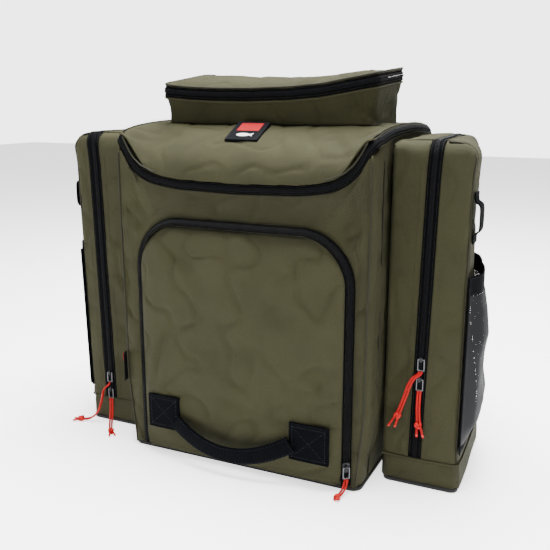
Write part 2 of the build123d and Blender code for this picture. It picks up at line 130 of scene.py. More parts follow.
def net(name, color):
    """Open net: a staggered grid of round holes seen through the cloth."""
    mat, tree, shader = new_material(name, color, 0.75)
    link = tree.links.new
    coords = add_node(tree, "ShaderNodeUVMap")
    cells = add_node(tree, "ShaderNodeTexVoronoi", Scale=420.0, Randomness=0.15)
    link(coords.outputs["UV"], cells.inputs["Vector"])
    hole = add_node(tree, "ShaderNodeMath", operation="GREATER_THAN")
    hole.inputs[1].default_value = 0.12
    link(cells.outputs["Distance"], hole.inputs[0])
    link(hole.outputs[0], shader.inputs["Alpha"])
    return mat


def metal(name, color, rough):
    mat, _, shader = new_material(name, color, rough)
    shader.inputs["Metallic"].default_value = 1.0
    return mat


OLIVE = weave("olive cloth", (0.0285, 0.0275, 0.0103), 0.8, 1.1, 1.0, mottle=0.24, sheen=0.02)
OLIVE_IN = weave("lining", (0.03, 0.028, 0.018), 0.9, 0.9, 0.3, sheen=0.05)
TAPE = weave("zip tape", (0.0006, 0.0008, 0.0013), 0.9, 0.8, 0.5, sheen=0.0, specular=0.05)
WEBBING = weave("webbing", (0.0006, 0.0009, 0.0018), 0.9, 1.6, 1.0, sheen=0.0, ribs=True, specular=0.05)
PATCH = weave("label cloth", (0.002, 0.0023, 0.0032), 0.8, 0.6, 0.4, sheen=0.0, specular=0.06)
PAD = weave("pad mesh", (0.009, 0.0095, 0.0105), 0.85, 2.4, 1.0, sheen=0.08)
CORD_RED = weave("red cord", (0.42, 0.004, 0.004), 0.5, 1.2, 0.8, sheen=0.02, ribs=True)
RED_THREAD = weave("red thread", (0.22, 0.001, 0.003), 0.8, 0.6, 0.4, sheen=0.0)
PALE_THREAD = weave("pale thread", (0.62, 0.62, 0.6), 0.6, 0.6, 0.4)
NET = net("net", (0.002, 0.0024, 0.0034))
COIL = new_material("zip coil", (0.001, 0.0012, 0.002), 0.6, 0.12)[0]
THREAD = new_material("olive thread", (0.02, 0.018, 0.009), 0.6)[0]
BLACK_THREAD = new_material("black thread", (0.006, 0.007, 0.009), 0.6)[0]
PLASTIC = new_material("black plastic", (0.02, 0.021, 0.022), 0.42, 0.5)[0]
BASE_BLACK = new_material("base plastic", (0.006, 0.006, 0.006), 0.7, 0.2)[0]
# Piping cloth: a raised seam coloured darker than the olive cloth. The darkening is painted shade for the
# shadow line along the seams, and it is used on all piping and welts.
SEAM_SHADE_PIPING = new_material("piping in painted seam shade", (0.014, 0.0135, 0.007), 0.7, 0.15)[0]
TIP = new_material("sealed tip", (0.5, 0.02, 0.015), 0.45, 0.4)[0]
WIRE = metal("wire", (0.09, 0.09, 0.095), 0.3)
SLIDER = metal("slider metal", (0.02, 0.02, 0.022), 0.4)


# ---------------------------------------------------------------- mesh tools
def make(name, verts, faces, mat, body, uvs=None, smooth_faces=True):
    """A mesh from millimetre vertices. uvs holds one (u, v) pair per vertex, in millimetres too."""
    mesh = bpy.data.meshes.new(name)
    mesh.from_pydata([Vector(v) * MM for v in verts], [], faces)
    layer = mesh.uv_layers.new(name="UVMap")
    if uvs is None:
        uvs = [(v[0] + v[1], v[2]) for v in verts]
    for loop in mesh.loops:
        u, v = uvs[loop.vertex_index]
        layer.data[loop.index].uv = (u * MM, v * MM)
    for face in mesh.polygons:
        face.use_smooth = smooth_faces
    mesh.materials.append(mat)
    mesh.validate()
    obj = bpy.data.objects.new(name, mesh)
    bpy.context.scene.collection.objects.link(obj)
    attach(obj, body)
    return obj


class Patchwork:
    """Collects many small meshes into one."""

    def __init__(self):
        self.verts = []
        self.faces = []
        self.uvs = []

    def add(self, verts, faces, uvs=None):
        base = len(self.verts)
        self.verts += [tuple(v) for v in verts]
        self.faces += [tuple(i + base for i in f) for f in faces]
        self.uvs += uvs if uvs else [(v[0], v[2]) for v in verts]

    def make(self, name, mat, body, slot, smooth_faces=True):
        return make(name, self.verts, self.faces, mat, body, self.uvs, smooth_faces)


def grid_faces(rows, cols, wrap=False):
    """Faces of a rows by cols sheet of points; wrap joins the last column to the first."""
    faces = []
    for i in range(rows - 1):
        for j in range(cols if wrap else cols - 1):
            k = (j + 1) % cols
            faces.append((i * cols + j, i * cols + k, (i + 1) * cols + k, (i + 1) * cols + j))
    return faces


def thicken(obj, mm, offset=-1.0):
    mod = obj.modifiers.new("thickness", "SOLIDIFY")
    mod.thickness = mm * MM
    mod.offset = offset


def path_length(points):
    return sum((b - a).length for a, b in zip(points, points[1:]))


def resample(points, step):
    """Evenly spaced points along a smooth curve through the given ones."""
    pts = [Vector(p) for p in points]
    fine = []
    for i in range(len(pts) - 1):
        p1 = pts[i]
        p2 = pts[i + 1]
        p0 = pts[i - 1] if i > 0 else p1 + (p1 - p2)
        p3 = pts[i + 2] if i + 2 < len(pts) else p2 + (p2 - p1)
        parts = max(2, int((p2 - p1).length / step * 2))
        for k in range(parts):
            t = k / parts
            bend = (2 * p0 - 5 * p1 + 4 * p2 - p3) * t * t + (3 * p1 - p0 - 3 * p2 + p3) * t * t * t
            fine.append(0.5 * (2 * p1 + (p2 - p0) * t + bend))
    fine.append(pts[-1].copy())
    total = path_length(fine)
    steps = max(2, round(total / step))
    out = [fine[0].copy()]
    target = total / steps
    walked = 0.0
    for a, b in zip(fine, fine[1:]):
        leg = (b - a).length
        while leg > 0 and walked + leg >= target * len(out) and len(out) < steps:
            out.append(a + (b - a) * ((target * len(out) - walked) / leg))
        walked += leg
    out.append(fine[-1].copy())
    return out


def frames(points, out_of):
    """Rows of (point, along, across, outward); out_of gives the outward direction wanted."""
    rows = []
    for i, p in enumerate(points):
        a = points[max(i - 1, 0)]
        b = points[min(i + 1, len(points) - 1)]
        along = (b - a).normalized()
        out = Vector(out_of(p))
        out = (out - along * out.dot(along)).normalized()
        across = along.cross(out)
        rows.append((p, along, across, out))
    return rows


def run(points, step, out):
    """A path resampled and framed; out is a direction, or a function that gives one at a point."""
    return frames(resample(points, step), out if callable(out) else lambda p: out)


def strip(work, rows, section):
    """Sweeps a section of (across, out) points along framed rows."""
    verts = []
    uvs = []
    walked = 0.0
    girth = [0.0]
    for a, b in zip(section, section[1:]):
        girth.append(girth[-1] + math.dist(a, b))
    last = None
    for p, along, across, out in rows:
        if last is not None:
            walked += (p - last).length
        last = p
        for (s, h), g in zip(section, girth):
            verts.append(p + across * s + out * h)
            uvs.append((g, walked))
    cols = len(section)
    faces = grid_faces(len(rows), cols, wrap=True)
    faces.append(tuple(range(cols)))
    faces.append(tuple(reversed(range((len(rows) - 1) * cols, len(rows) * cols))))
    work.add(verts, faces, uvs)


def slab_section(s0, s1, low, high, parts=4, crown=0.0):
    """Cross-section of a flat strip between two places across and two heights."""
    top = []
    for i in range(parts + 1):
        t = i / parts
        top.append((lerp(s0, s1, t), high + crown * (1 - (2 * t - 1) ** 2)))
    bottom = [(s, low) for s, h in reversed(top)]
    return top + bottom


def round_section(radius):
    """Cross-section of a thin round cord of cloth."""
    turns = [2 * math.pi * i / 8 for i in range(8)]
    return [(radius * math.cos(a), radius * math.sin(a)) for a in turns]


def soft_oval(parts, wide, wide_power, high, high_power, lift=0.0):
    """Cross-section of stuffed webbing: an oval squared off by its two powers."""
    section = []
    for k in range(parts):
        a = math.tau * k / parts
        ca, sa = math.cos(a), math.sin(a)
        s = wide * math.copysign(abs(ca) ** wide_power, ca)
        section.append((s, high * math.copysign(abs(sa) ** high_power, sa) + lift))
    return section


def stitches(work, rows, side, height=0.3, pitch=3.6, length=2.5, radius=0.32):
    """A row of short raised threads, side millimetres across from the path."""
    walked = 0.0
    last = None
    mark = 0.0
    for p, along, across, out in rows:
        if last is not None:
            walked += (p - last).length
        last = p
        if walked >= mark:
            mark += pitch
            c = p + across * side + out * height
            verts = []
            for t, r in ((-0.5, 0.35), (0.0, 1.0), (0.5, 0.35)):
                for a in range(5):
                    ang = a * math.tau / 5
                    round_it = across * math.cos(ang) + out * math.sin(ang)
                    verts.append(c + along * (t * length) + round_it * (radius * r))
            work.add(verts, grid_faces(3, 5, wrap=True))


# ---------------------------------------------------------------- creases in the cloth
# Each crease: two ends, how wide it is and how deep (negative stands out).
CREASES = [
    # pinched cloth from the flap's top corners out to the side seams
    ((-150, -150, 342), (-186, -150, 372), 5, 3.4),
    ((-152, -150, 330), (-187, -150, 350), 4, -2.4),
    ((-140, -150, 352), (-178, -150, 398), 6, 2.4),
    ((150, -150, 342), (187, -150, 366), 5, 3.4),
    ((152, -150, 328), (187, -150, 342), 4, -2.4),
    ((142, -150, 352), (180, -150, 392), 6, 2.4),
    ((-181, -150, 250), (-187, -150, 282), 4, 2.4),
    ((-178, -150, 205), (-187, -150, 220), 4, 2.2),
    ((-178, -150, 165), (-187, -150, 175), 4, 2.0),
    ((178, -150, 250), (187, -150, 262), 4, 2.0),
    ((-90, -150, 378), (-30, -150, 384), 9, 1.6),
    ((20, -150, 383), (96, -150, 376), 9, 1.6),
    # lid: a slanting crease beside the name patch and slack near the front corners
    ((38, -100, 470), (66, -140, 436), 6, 2.4),
    ((48, -96, 474), (76, -132, 446), 5, -1.8),
    ((-60, -104, 468), (-92, -138, 438), 9, 1.6),
    ((120, -96, 474), (150, -132, 446), 8, 2.2),
    ((-118, -96, 474), (-152, -132, 446), 8, 2.2),
    ((-170, -60, 488), (-176, 60, 486), 9, 1.6),
    ((172, -60, 488), (178, 60, 486), 9, 1.6),
    # front flap
    ((-118, -166, 318), (-52, -166, 292), 9, 2.2),
    ((110, -166, 318), (60, -166, 282), 9, 2.2),
    ((-140, -166, 120), (-112, -166, 170), 8, 1.6),
    ((138, -166, 130), (116, -166, 176), 8, 1.6),
    ((-30, -166, 108), (40, -166, 102), 10, 1.6),
    ((-86, -166, 70), (-60, -166, 120), 7, 1.6),
    ((86, -166, 66), (60, -166, 116), 7, 1.6),
    # side pockets, front faces
    ((214, -98, 150), (236, -98, 190), 6, 1.8),
    ((212, -98, 300), (238, -98, 268), 7, 1.6),
    ((270, -98, 350), (296, -98, 310), 7, 1.8),
    ((270, -98, 210), (298, -98, 240), 7, 1.6),
    ((-214, -98, 140), (-246, -98, 180), 7, 2.0),
    ((-216, -98, 230), (-246, -98, 262), 6, 1.8),
    ((-214, -98, 320), (-244, -98, 290), 7, 1.8),
    ((-286, -98, 330), (-302, -98, 290), 5, 1.8),
    # side pockets, outer faces above the mesh
    ((306, -70, 420), (306, -10, 330), 10, 2.6),
    ((306, 40, 430), (306, 70, 340), 10, 2.2),
    ((-312, -70, 420), (-310, -10, 330), 10, 2.6),
    ((-312, 40, 430), (-310, 70, 340), 10, 2.2),
    # top pocket
    ((-120, -70, 500), (-60, -70, 494), 6, 2.0),
    ((40, -70, 500), (120, -70, 496), 6, 2.0),
    ((166, -30, 500), (166, 30, 520), 7, 2.6),
    ((-70, -30, 566), (40, -10, 562), 16, 2.4),
]
CREASES = [(Vector(a), Vector(b), w, d) for a, b, w, d in CREASES]


def folds(p, slack=1.0):
    """How far the cloth stands in (+) at a point: broad waves, small crumples and the placed creases."""
    q = Vector(p)
    depth = 2.1 * slack * noise.noise(q * 0.013 + Vector((3.1, 7.7, 1.3)))
    depth += 1.3 * slack * noise.noise(q * 0.035 + Vector((9.2, 1.1, 5.3)))
    ridge = abs(noise.noise(q * 0.021 + Vector((4.4, 2.2, 8.8))))
    depth += 1.7 * slack * max(0.0, 0.14 - ridge) / 0.14
    for a, b, width, size in CREASES:
        ab = b - a
        t = clamp((q - a).dot(ab) / ab.length_squared)
        gap = (q - a - ab * t).length
        if gap < width * 3:
            depth += 1.5 * size * math.exp(-((gap / width) ** 2)) * math.sin(math.pi * clamp(t * 0.9 + 0.08))
    return depth


def relax(verts, faces, held=(), slack=1.0, puff=None):
    """Moves each point along its normal by the cloth's folds. Points in held stay."""
    mesh = bpy.data.meshes.new("scratch")
    mesh.from_pydata([tuple(v) for v in verts], [], faces)
    mesh.update()
    normals = [Vector(v.normal) for v in mesh.vertices]
    bpy.data.meshes.remove(mesh)
    out = []
    for i, v in enumerate(verts):
        hold = held[i] if held else 1.0
        move = -folds(v, slack) * hold
        if puff:
            move += puff(v) * hold
        out.append(Vector(v) + normals[i] * move)
    return out


# ---------------------------------------------------------------- shared lines of the bag
LID_REACH = 7.0
FLAP_REACH = 6.4
LEFT_NARROW = 0.945
# The bag's rear plane, and the radius of its two rear corners in plan.
REAR = 150
REAR_ROUND = 36


def skew(x):
    """The front pocket sits a little nearer the middle on its left."""
    return x * LEFT_NARROW if x < 0 else x


# Height of the lid zip by distance from the middle (front) and by depth (sides).
FRONT_CLIMB = [(0, 407), (90, 408.5), (118, 411.5), (136, 415), (152, 421.5), (164, 431.5), (174, 445),
               (180, 457), (187, 469)]
SIDE_CLIMB = [(-140, 471), (-118, 477), (-89, 480.5), (-56, 483), (10, 485), (50, 484), (80, 482),
              (110, 478.5), (130, 476), (150, 475)]


def lid_zip_z(x):
    """Height of the lid zip across the front; it climbs at both corners."""
    sag = 3.0 * (1 - (x / 150.0) ** 2) if abs(x) < 150 else 0.0
    return table_value(FRONT_CLIMB, abs(x)) - sag * 0.6


def zip_edge(sign):
    """The lid zip's upper (+1) or lower (-1) edge across the front as (x, z) pairs."""
    pairs = []
    for k in range(188):
        slope = (lid_zip_z(k + 0.5) - lid_zip_z(k - 0.5)) if k else 0.0
        size = math.hypot(slope, 1)
        place = (k - sign * slope / size * LID_REACH, lid_zip_z(k) + sign * LID_REACH / size)
        if not pairs or place[0] > pairs[-1][0]:
            pairs.append(place)
    return pairs


LID_EDGE = zip_edge(1)
PANEL_EDGE = zip_edge(-1)


def side_zip_z(y):
    return table_value(SIDE_CLIMB, y)


def edge_x(z):
    """Half-width of the front panel's edge: drawn in towards the base."""
    return 178 + 10 * smooth(-10, 130, z) + 1.5 * smooth(150, 380, z)


def side_x(z, y=0.0):
    """Half-width of the side wall; the rear corners are rounded in plan."""
    full = 183 + 10.5 * smooth(-10, 130, z)
    if y > REAR - REAR_ROUND:
        full -= REAR_ROUND - math.sqrt(max(0.0, REAR_ROUND ** 2 - (y - REAR + REAR_ROUND) ** 2))
    return full


def near_edge(i, last, ramp):
    """How freely the cloth moves i rows in from its edge: 0.1 at both ends of 0 to last, 1 inside."""
    return clamp(min(i, last - i) / ramp + 0.1)


def olive_panel(name, rows, nodes, body, slack=1.0, held=None, puff=None, mat=OLIVE, thick=2.0, wrap=False):
    """A cloth panel from rows of points, with its folds, thickness and UVs along its own lines."""
    cols = len(rows[0])
    verts = [Vector(p) for row in rows for p in row]
    faces = grid_faces(len(rows), cols, wrap)
    uvs = []
    down = 0.0
    for i, row in enumerate(rows):
        if i:
            down += (Vector(row[cols // 2]) - Vector(rows[i - 1][cols // 2])).length
        along = 0.0
        for j, p in enumerate(row):
            if j:
                along += (Vector(p) - Vector(row[j - 1])).length
            uvs.append((along, down))
    verts = relax(verts, faces, held or [], slack, puff)
    obj = make(name, verts, faces, mat, body, uvs)
    if thick:
        thicken(obj, thick)
    if nodes:
        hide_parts(*nodes)
    return obj


def arch_points(half, low, top, radius, step=6.0):
    """Arch outline from bottom left, up, over and down to bottom right, in X and Z, with even steps."""
    pts = []
    rise = top - radius - low
    n = max(2, round(rise / step))
    pts += [(-half, low + rise * i / n) for i in range(n)]
    n = max(2, round(radius * math.pi / 2 / step))
    for i in range(n):
        a = math.pi - i / n * math.pi / 2
        pts.append((-half + radius + radius * math.cos(a), top - radius + radius * math.sin(a)))
    span = 2 * (half - radius)
    level = max(2, round(span / step))
    pts += [(-half + radius + span * i / level, top) for i in range(level)]
    for i in range(n):
        a = math.pi / 2 - i / n * math.pi / 2
        pts.append((half - radius + radius * math.cos(a), top - radius + radius * math.sin(a)))
    n = max(2, round(rise / step))
    pts += [(half, top - radius - rise * i / n) for i in range(n + 1)]
    return pts


def arch_count(points, count):
    """The outline read again at an even number of places."""
    pts = [Vector((x, z, 0)) for x, z in points]
    total = path_length(pts)
    out = []
    k = 0
    walked = 0.0
    for i in range(count):
        target = total * i / (count - 1)
        while k < len(pts) - 2 and walked + (pts[k + 1] - pts[k]).length < target:
            walked += (pts[k + 1] - pts[k]).length
            k += 1
        leg = (pts[k + 1] - pts[k]).length or 1.0
        p = pts[k] + (pts[k + 1] - pts[k]) * clamp((target - walked) / leg)
        out.append((p.x, p.y))
    return out


# ---------------------------------------------------------------- front panel round the arched pocket
N_ARCH = 190
# The pocket's arch in the front panel: where it leaves its straight sides and its top turns level.
ARCH_SPRING = 285
ARCH_FLAT = 98
inner = arch_count(arch_points(172, 8, 360, 75.5), N_ARCH)
outer = []
for x, z in inner:
    side = -1 if x < 0 else 1
    if z < ARCH_SPRING:
        outer.append((side * edge_x(z - 2), z - 2))
    elif abs(x) >= ARCH_FLAT:
        turn = math.atan2(z - ARCH_SPRING, abs(x) - ARCH_FLAT) / (math.pi / 2)
        high = lerp(ARCH_SPRING, table_value(PANEL_EDGE, 187), clamp(turn * 1.45))
        wide = edge_x(high) if turn < 0.69 else lerp(edge_x(high), ARCH_FLAT, (turn - 0.69) / 0.31)
        outer.append((side * wide, min(high, table_value(PANEL_EDGE, wide))))
    else:
        outer.append((x, table_value(PANEL_EDGE, abs(x))))
rows = []
held = []
BANDS = 14
for k in range(BANDS + 1):
    t = k / BANDS
    row = []
    for (xi, zi), (xo, zo) in zip(inner, outer):
        x = lerp(skew(xi), xo, t)
        z = lerp(zi, zo, t)
        y = -150 - 1.5 * math.sin(math.pi * t) - 4 * smooth(380, 330, z) * (1 - t) * 0.4
        row.append((x, y, z))
        held.append(clamp(min(t, 1 - t) * 5 + 0.1))
    rows.append(row)
olive_panel("front_panel_cloth", rows, ["front_panel"], "pack", 1.3, held)
low_strip = [[(x, -150, z) for x in range(-178, 179, 4)] for z in (5, 9, 14)]
olive_panel("front_panel_foot", low_strip, [], "pack", 0.2)


# ---------------------------------------------------------------- side walls, gussets and back
wall_plan = [-150, -149.2, -147.5, -144.5, -140.5, -136] + [-130 + 6 * k for k in range(38)]
wall_plan += [REAR - REAR_ROUND + REAR_ROUND * math.sin(math.radians(a)) for a in range(0, 91, 8)] + [REAR]
for name, side in (("left", -1), ("right", 1)):
    rows = []
    held = []
    for i in range(61):
        t = i / 60
        row = []
        for y in wall_plan:
            top = lerp(table_value(PANEL_EDGE, 187), side_zip_z(y) - LID_REACH + 1, smooth(-150, -125, y))
            z = lerp(4, top, t)
            x = lerp(edge_x(z), side_x(z, y), smooth(-150, -136, y))
            row.append((side * x, y, z))
            held.append(clamp(min(t, 1 - t) * 8 + 0.15) * clamp((y + 150) / 12 + 0.1))
        rows.append(row if side > 0 else row[::-1])
        if side < 0:
            held[-len(row):] = held[-len(row):][::-1]
    olive_panel(f"side_wall_{name}", rows, [f"side_panel_{name}"], "pack", 1.3, held)
rows = [[(lerp(158, -158, k / 52), 150, z) for k in range(53)] for z in range(4, 485, 8)]
olive_panel("back_cloth", rows, ["back_panel"], "pack", 0.6)
rows = [[(x, -130, z) for x in range(-176, 177, 16)] for z in range(5, 393, 16)]
olive_panel("divider_cloth", rows, ["front_divider"], "pack", 0.4, mat=OLIVE_IN, thick=1.5)

# Seams: piping down the front panel's edges and a second seam before the side pockets. The piping's darker
# colour is painted shade for the shadow line along each seam.
seam = Patchwork()
seam_thread = Patchwork()
for side in (-1, 1):
    pts = [(side * edge_x(z), -150.6, z) for z in range(4, 453, 12)]
    rows = run(pts, 5, (side * 0.6, -0.8, 0))
    strip(seam, rows, round_section(1.2))
    stitches(seam_thread, run(pts, 2.5, (0, -1, 0)), -5, 0.6)
    pts = [(side * (side_x(z) + 0.4), -112, z) for z in range(4, 455, 12)]
    strip(seam, run(pts, 5, (side, 0, 0)), round_section(1.2))
seam.make("edge_piping", SEAM_SHADE_PIPING, "pack", "fabric_olive")
seam_thread.make("edge_stitching", THREAD, "pack", "fabric_olive")

# Base: black tray edges, drawn in like the cloth above them.
base = Patchwork()
TRAY_RINGS = [(0.0, -2.0), (0.2, 0.0), (4.5, 1.2), (6.0, 0.6), (6.2, -3.0)]


def tray_part(outline, middle):
    """One closed tray under an outline; each ring is a height and how far it stands out there."""
    verts = []
    for z, grow in TRAY_RINGS:
        for x, y in outline:
            n = (Vector((x, y, 0)) - middle).normalized()
            verts.append((x + n.x * grow, y + n.y * grow, z))
    count = len(outline)
    faces = grid_faces(len(TRAY_RINGS), count, wrap=True)
    faces.append(tuple(reversed(range(count))))
    faces.append(tuple(range((len(TRAY_RINGS) - 1) * count, len(TRAY_RINGS) * count)))
    base.add(verts, faces)


outline = []
for cx, cy, a0, r in ((1, -1, -90, 14), (1, 1, 0, REAR_ROUND), (-1, 1, 90, REAR_ROUND), (-1, -1, 180, 14)):
    for k in range(13):
        a = math.radians(a0 + k * 7.5)
        outline.append((cx * (184 - r) + r * math.cos(a), cy * (150 - r) + r * math.sin(a)))
tray_part(outline, Vector((0, 0, 0)))
TRAY_IN, TRAY_OUT, TRAY_ROUND = 200, 304, 10
for side in (1, -1):
    outline = []
    for cx, cy, a0 in ((1, 0, -90), (1, 1, 0), (0, 1, 90), (0, 0, 180)):
        for k in range(7):
            a = math.radians(a0 + k * 15)
            px = (TRAY_OUT - TRAY_ROUND if cx else TRAY_IN + TRAY_ROUND) + TRAY_ROUND * math.cos(a)
            py = (80 if cy else -88) + TRAY_ROUND * math.sin(a)
            outline.append((side * (px - 8 * smooth(-75, 92, py) * (1 if px > 250 else 0)), py))
    if side < 0:
        outline.reverse()
    tray_part(outline, Vector((side * (TRAY_IN + TRAY_OUT) / 2, -4, 0)))
tray = base.make("base_tray", BASE_BLACK, "pack", "base_black", smooth_faces=False)
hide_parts("base_board")


# ---------------------------------------------------------------- zips
def zip_tape(name, path, out_of, fixed, moving, moving_side, reaches):
    """Two tapes with their teeth along one path.

    fixed and moving are (body, replaced nodes); moving_side is the side of the path, +1 or -1
    across, that opens; reaches are the tapes' widths on the -1 and +1 side.
    """
    rows = run(path, 3.0, out_of)
    fine = run(path, 1.7, out_of)
    for (body, nodes), side in ((fixed, -moving_side), (moving, moving_side)):
        half_name = "a" if side < 0 else "b"
        tape = Patchwork()
        reach = reaches[0] if side < 0 else reaches[1]
        ends = sorted((side * 0.15, side * reach))
        strip(tape, rows, slab_section(ends[0], ends[1], -1.3, -0.1, 4))
        obj = tape.make(f"{name}_tape_{half_name}", TAPE, body, "zip_black")
        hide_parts(*nodes)
        teeth = Patchwork()
        for p, along, across, out in fine:
            c = p + along * (0.85 if side > 0 else 0.0)
            verts = []
            for s, r in ((0.15, 0.55), (0.9, 0.72), (2.4, 0.72), (3.3, 0.4)):
                for a in range(6):
                    ang = a * math.pi / 3
                    curl = along * (math.cos(ang) * r * 0.9) + out * (math.sin(ang) * r + 0.55)
                    verts.append(c + across * (side * s) + curl)
            faces = grid_faces(4, 6, wrap=True)
            faces += [tuple(range(6)), tuple(range(18, 24))]
            teeth.add(verts, faces)
        teeth.make(f"{name}_teeth_{half_name}", COIL, body, "zip_black")
        sewn = Patchwork()
        stitches(sewn, rows, side * (reach + 1.6), 0.5, 3.4, 2.4, 0.3)
        stitches(sewn, rows, side * (reach - 2.2), 0.1, 3.4, 2.4, 0.24)
        sewn.make(f"{name}_sewing_{half_name}", THREAD, body, "fabric_olive")


# Lid zip: from the left rear, along the left side, across the front and back down the right side.
half = []
for y in (149.6, 147, 143, 137, 128, 114, 100, 80, 50, 20, -10, -46, -80, -104, -124):
    half.append((-side_x(470, y), y, side_zip_z(y)))
half += [(-192.5, -136, 473.5), (-188, -145, 468)]
for x in (-182, -178, -173, -166, -157, -147, -136, -120, -90, -60, -30):
    half.append((x, -149.5 + 1.5 * smooth(160, 190, abs(x)), lid_zip_z(x)))
lid_path = half + [(0, -149.5, lid_zip_z(0))] + [(-x, y, z) for x, y, z in reversed(half)]


def lid_zip_out(p):
    side = -1 if p.x < 0 else 1
    turn = smooth(-150, -122, p.y) if abs(p.x) > 150 else 0.0
    front = Vector((side * 0.12 * smooth(150, 190, abs(p.x)), -1, 0.1 + 0.25 * smooth(120, 180, abs(p.x))))
    bend = clamp((p.y - REAR + REAR_ROUND) / REAR_ROUND)
    flank = Vector((side * 0.85 * math.sqrt(1 - bend * bend), 0.85 * bend, 0.5))
    return front * (1 - turn) + flank * turn


zip_tape("lid_zip", lid_path, lid_zip_out, ("pack", ["lid_zip_lower"]), ("lid", ["lid_zip_upper"]), -1,
         (LID_REACH, LID_REACH))


# ---------------------------------------------------------------- lid
LID_LINE = [(-150.5, 405), (-150, 418), (-146.5, 432), (-139, 445), (-129, 455), (-118, 463), (-104, 471),
            (-88, 479), (-72, 485), (-52, 488), (0, 487), (80, 486), (150, 487)]
lid_curve = [Vector((0, y, z)) for y, z in LID_LINE]
lid_curve = resample(lid_curve, 2.0)
lid_total = path_length(lid_curve)


def on_lid_line(s):
    """Point on the lid's centre line, s millimetres from its front edge."""
    i = clamp(s / lid_total) * (len(lid_curve) - 1)
    k = min(int(i), len(lid_curve) - 2)
    return lid_curve[k].lerp(lid_curve[k + 1], i - k)


rows = []
held = []
COLS = 97
LID_HALF = 187.5
# The corner columns start no further up the centre line than the zip's upper edge at x = 138.
highest = lid_zip_z(138) + LID_REACH
fronts = []
for j in range(COLS):
    u = -1 + 2 * j / (COLS - 1)
    x = LID_HALF * math.sin(u * math.pi / 2) * 0.35 + LID_HALF * u * 0.65
    z0 = max(table_value(LID_EDGE, abs(x)) - 0.6, 474 * (abs(x) > LID_EDGE[-1][0]))
    s = 0.0
    while s < lid_total and on_lid_line(s).z < min(z0, highest):
        s += 1.0
    fronts.append((x, z0, s))
N_ROWS = 84
for i in range(N_ROWS + 1):
    t = i / N_ROWS
    v = t ** 1.25
    row = []
    for x0, z0, s0 in fronts:
        p = on_lid_line(lerp(s0, lid_total, v))
        edge = smooth(136, 186, abs(x0))
        y = lerp(p.y, lerp(-148.5, 150, v), edge)
        z = max(z0, lerp(p.z, side_zip_z(y) + 4.6, edge))
        x = x0 * lerp(1.0, (side_x(480, y) - 2.2) / LID_HALF, smooth(-149, -128, y))
        row.append((x, y, z))
        held.append(clamp(min(t * 7, (1 - t) * 10, (187.6 - abs(x)) / 9) + 0.12))
    rows.append(row)


def lid_puff(v):
    """The padded brow across the lid's front."""
    return 2.0 * smooth(-60, -140, v.y) * (1 - smooth(90, 150, abs(v.x)))


olive_panel("lid_cloth", rows, ["lid_panel"], "lid", 1.15, held, lid_puff)

# Piping that catches the light where the zip turns up at each corner.
glint = Patchwork()
for side in (-1, 1):
    pts = [(side * x, -150.6 + 2.2 * smooth(160, 190, x), lid_zip_z(x) + 10.2) for x in range(128, 188, 6)]
    strip(glint, run(pts, 3, (0, -1, 0.2)), round_section(1.2))
glint.make("corner_piping", SEAM_SHADE_PIPING, "lid", "fabric_olive")

# Name patch: black woven rectangle with a red band and a plain fish outline.
slope = Vector((0, 44, 22)).normalized()
up = Vector((0, -slope.z, slope.y))
right = Vector((1, 0, 0))
patch_at = Vector((-10, -93, 477.6))


def patch_piece(name, outline, lift, depth, mat):
    verts = [patch_at + right * a + slope * b + up * lift for a, b in outline]
    verts += [patch_at + right * a + slope * b + up * (lift - depth) for a, b in outline]
    n = len(outline)
    faces = [tuple(range(n)), tuple(reversed(range(n, 2 * n)))]
    faces += [(k, n + k, n + (k + 1) % n, (k + 1) % n) for k in range(n)]
    uvs = [(a, b) for a, b in outline] * 2
    return make(name, verts, faces, mat, "lid", uvs, False)


patch = patch_piece("name_patch", [(-25, -25), (25, -25), (25, 25), (-25, 25)], 2.6, 4.2, PATCH)
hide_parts("label_patch")
patch_piece("name_patch_band", [(-17, -1), (17, -1), (17, 20), (-17, 20)], 3.0, 0.5, RED_THREAD)
fish = []
for k in range(24):
    a = k / 24 * math.tau
    fish.append((10 * math.cos(a) - 2, -12 + 4.2 * math.sin(a)))
tail = [(6.5, -12), (13, -7.5), (11.5, -12), (13, -16.5)]
patch_piece("name_patch_fish", fish, 3.0, 0.5, PALE_THREAD)
patch_piece("name_patch_tail", tail, 3.05, 0.5, PALE_THREAD)
border = Patchwork()
ring = [(-23, -23), (23, -23), (23, 23), (-23, 23), (-23, -23)]
for a, b in zip(ring, ring[1:]):
    pa = patch_at + right * a[0] + slope * a[1] + up * 2.7
    pb = patch_at + right * b[0] + slope * b[1] + up * 2.7
    line = [pa.lerp(pb, k / 30) for k in range(31)]
    stitches(border, frames(line, lambda p: up), 0, 0.1, 2.8, 2.0, 0.28)
border.make("name_patch_sewing", BLACK_THREAD, "lid", "patch_black")


# ---------------------------------------------------------------- top pocket
# In plan: half its width, its front and rear, the radius of its corners, its middle in Y, and how far
# its straight sides reach from the middle.
TOP_HALF, TOP_FRONT, TOP_REAR, TOP_ROUND = 166, -70, 66, 16
TOP_MID = (TOP_FRONT + TOP_REAR) / 2
TOP_FLAT_X = TOP_HALF - TOP_ROUND
TOP_FLAT_Y = TOP_REAR - TOP_MID - TOP_ROUND
TOP_N = 260
TOP_REACH = 8.2
# The zip's sag along its front, above its lowest height.
SMILE_Z = 525
SMILE = [(-166, 9.5), (-120, 5.5), (-73, 3.5), (-20, 3), (43, 5), (90, 9), (154, 20), (166, 22)]


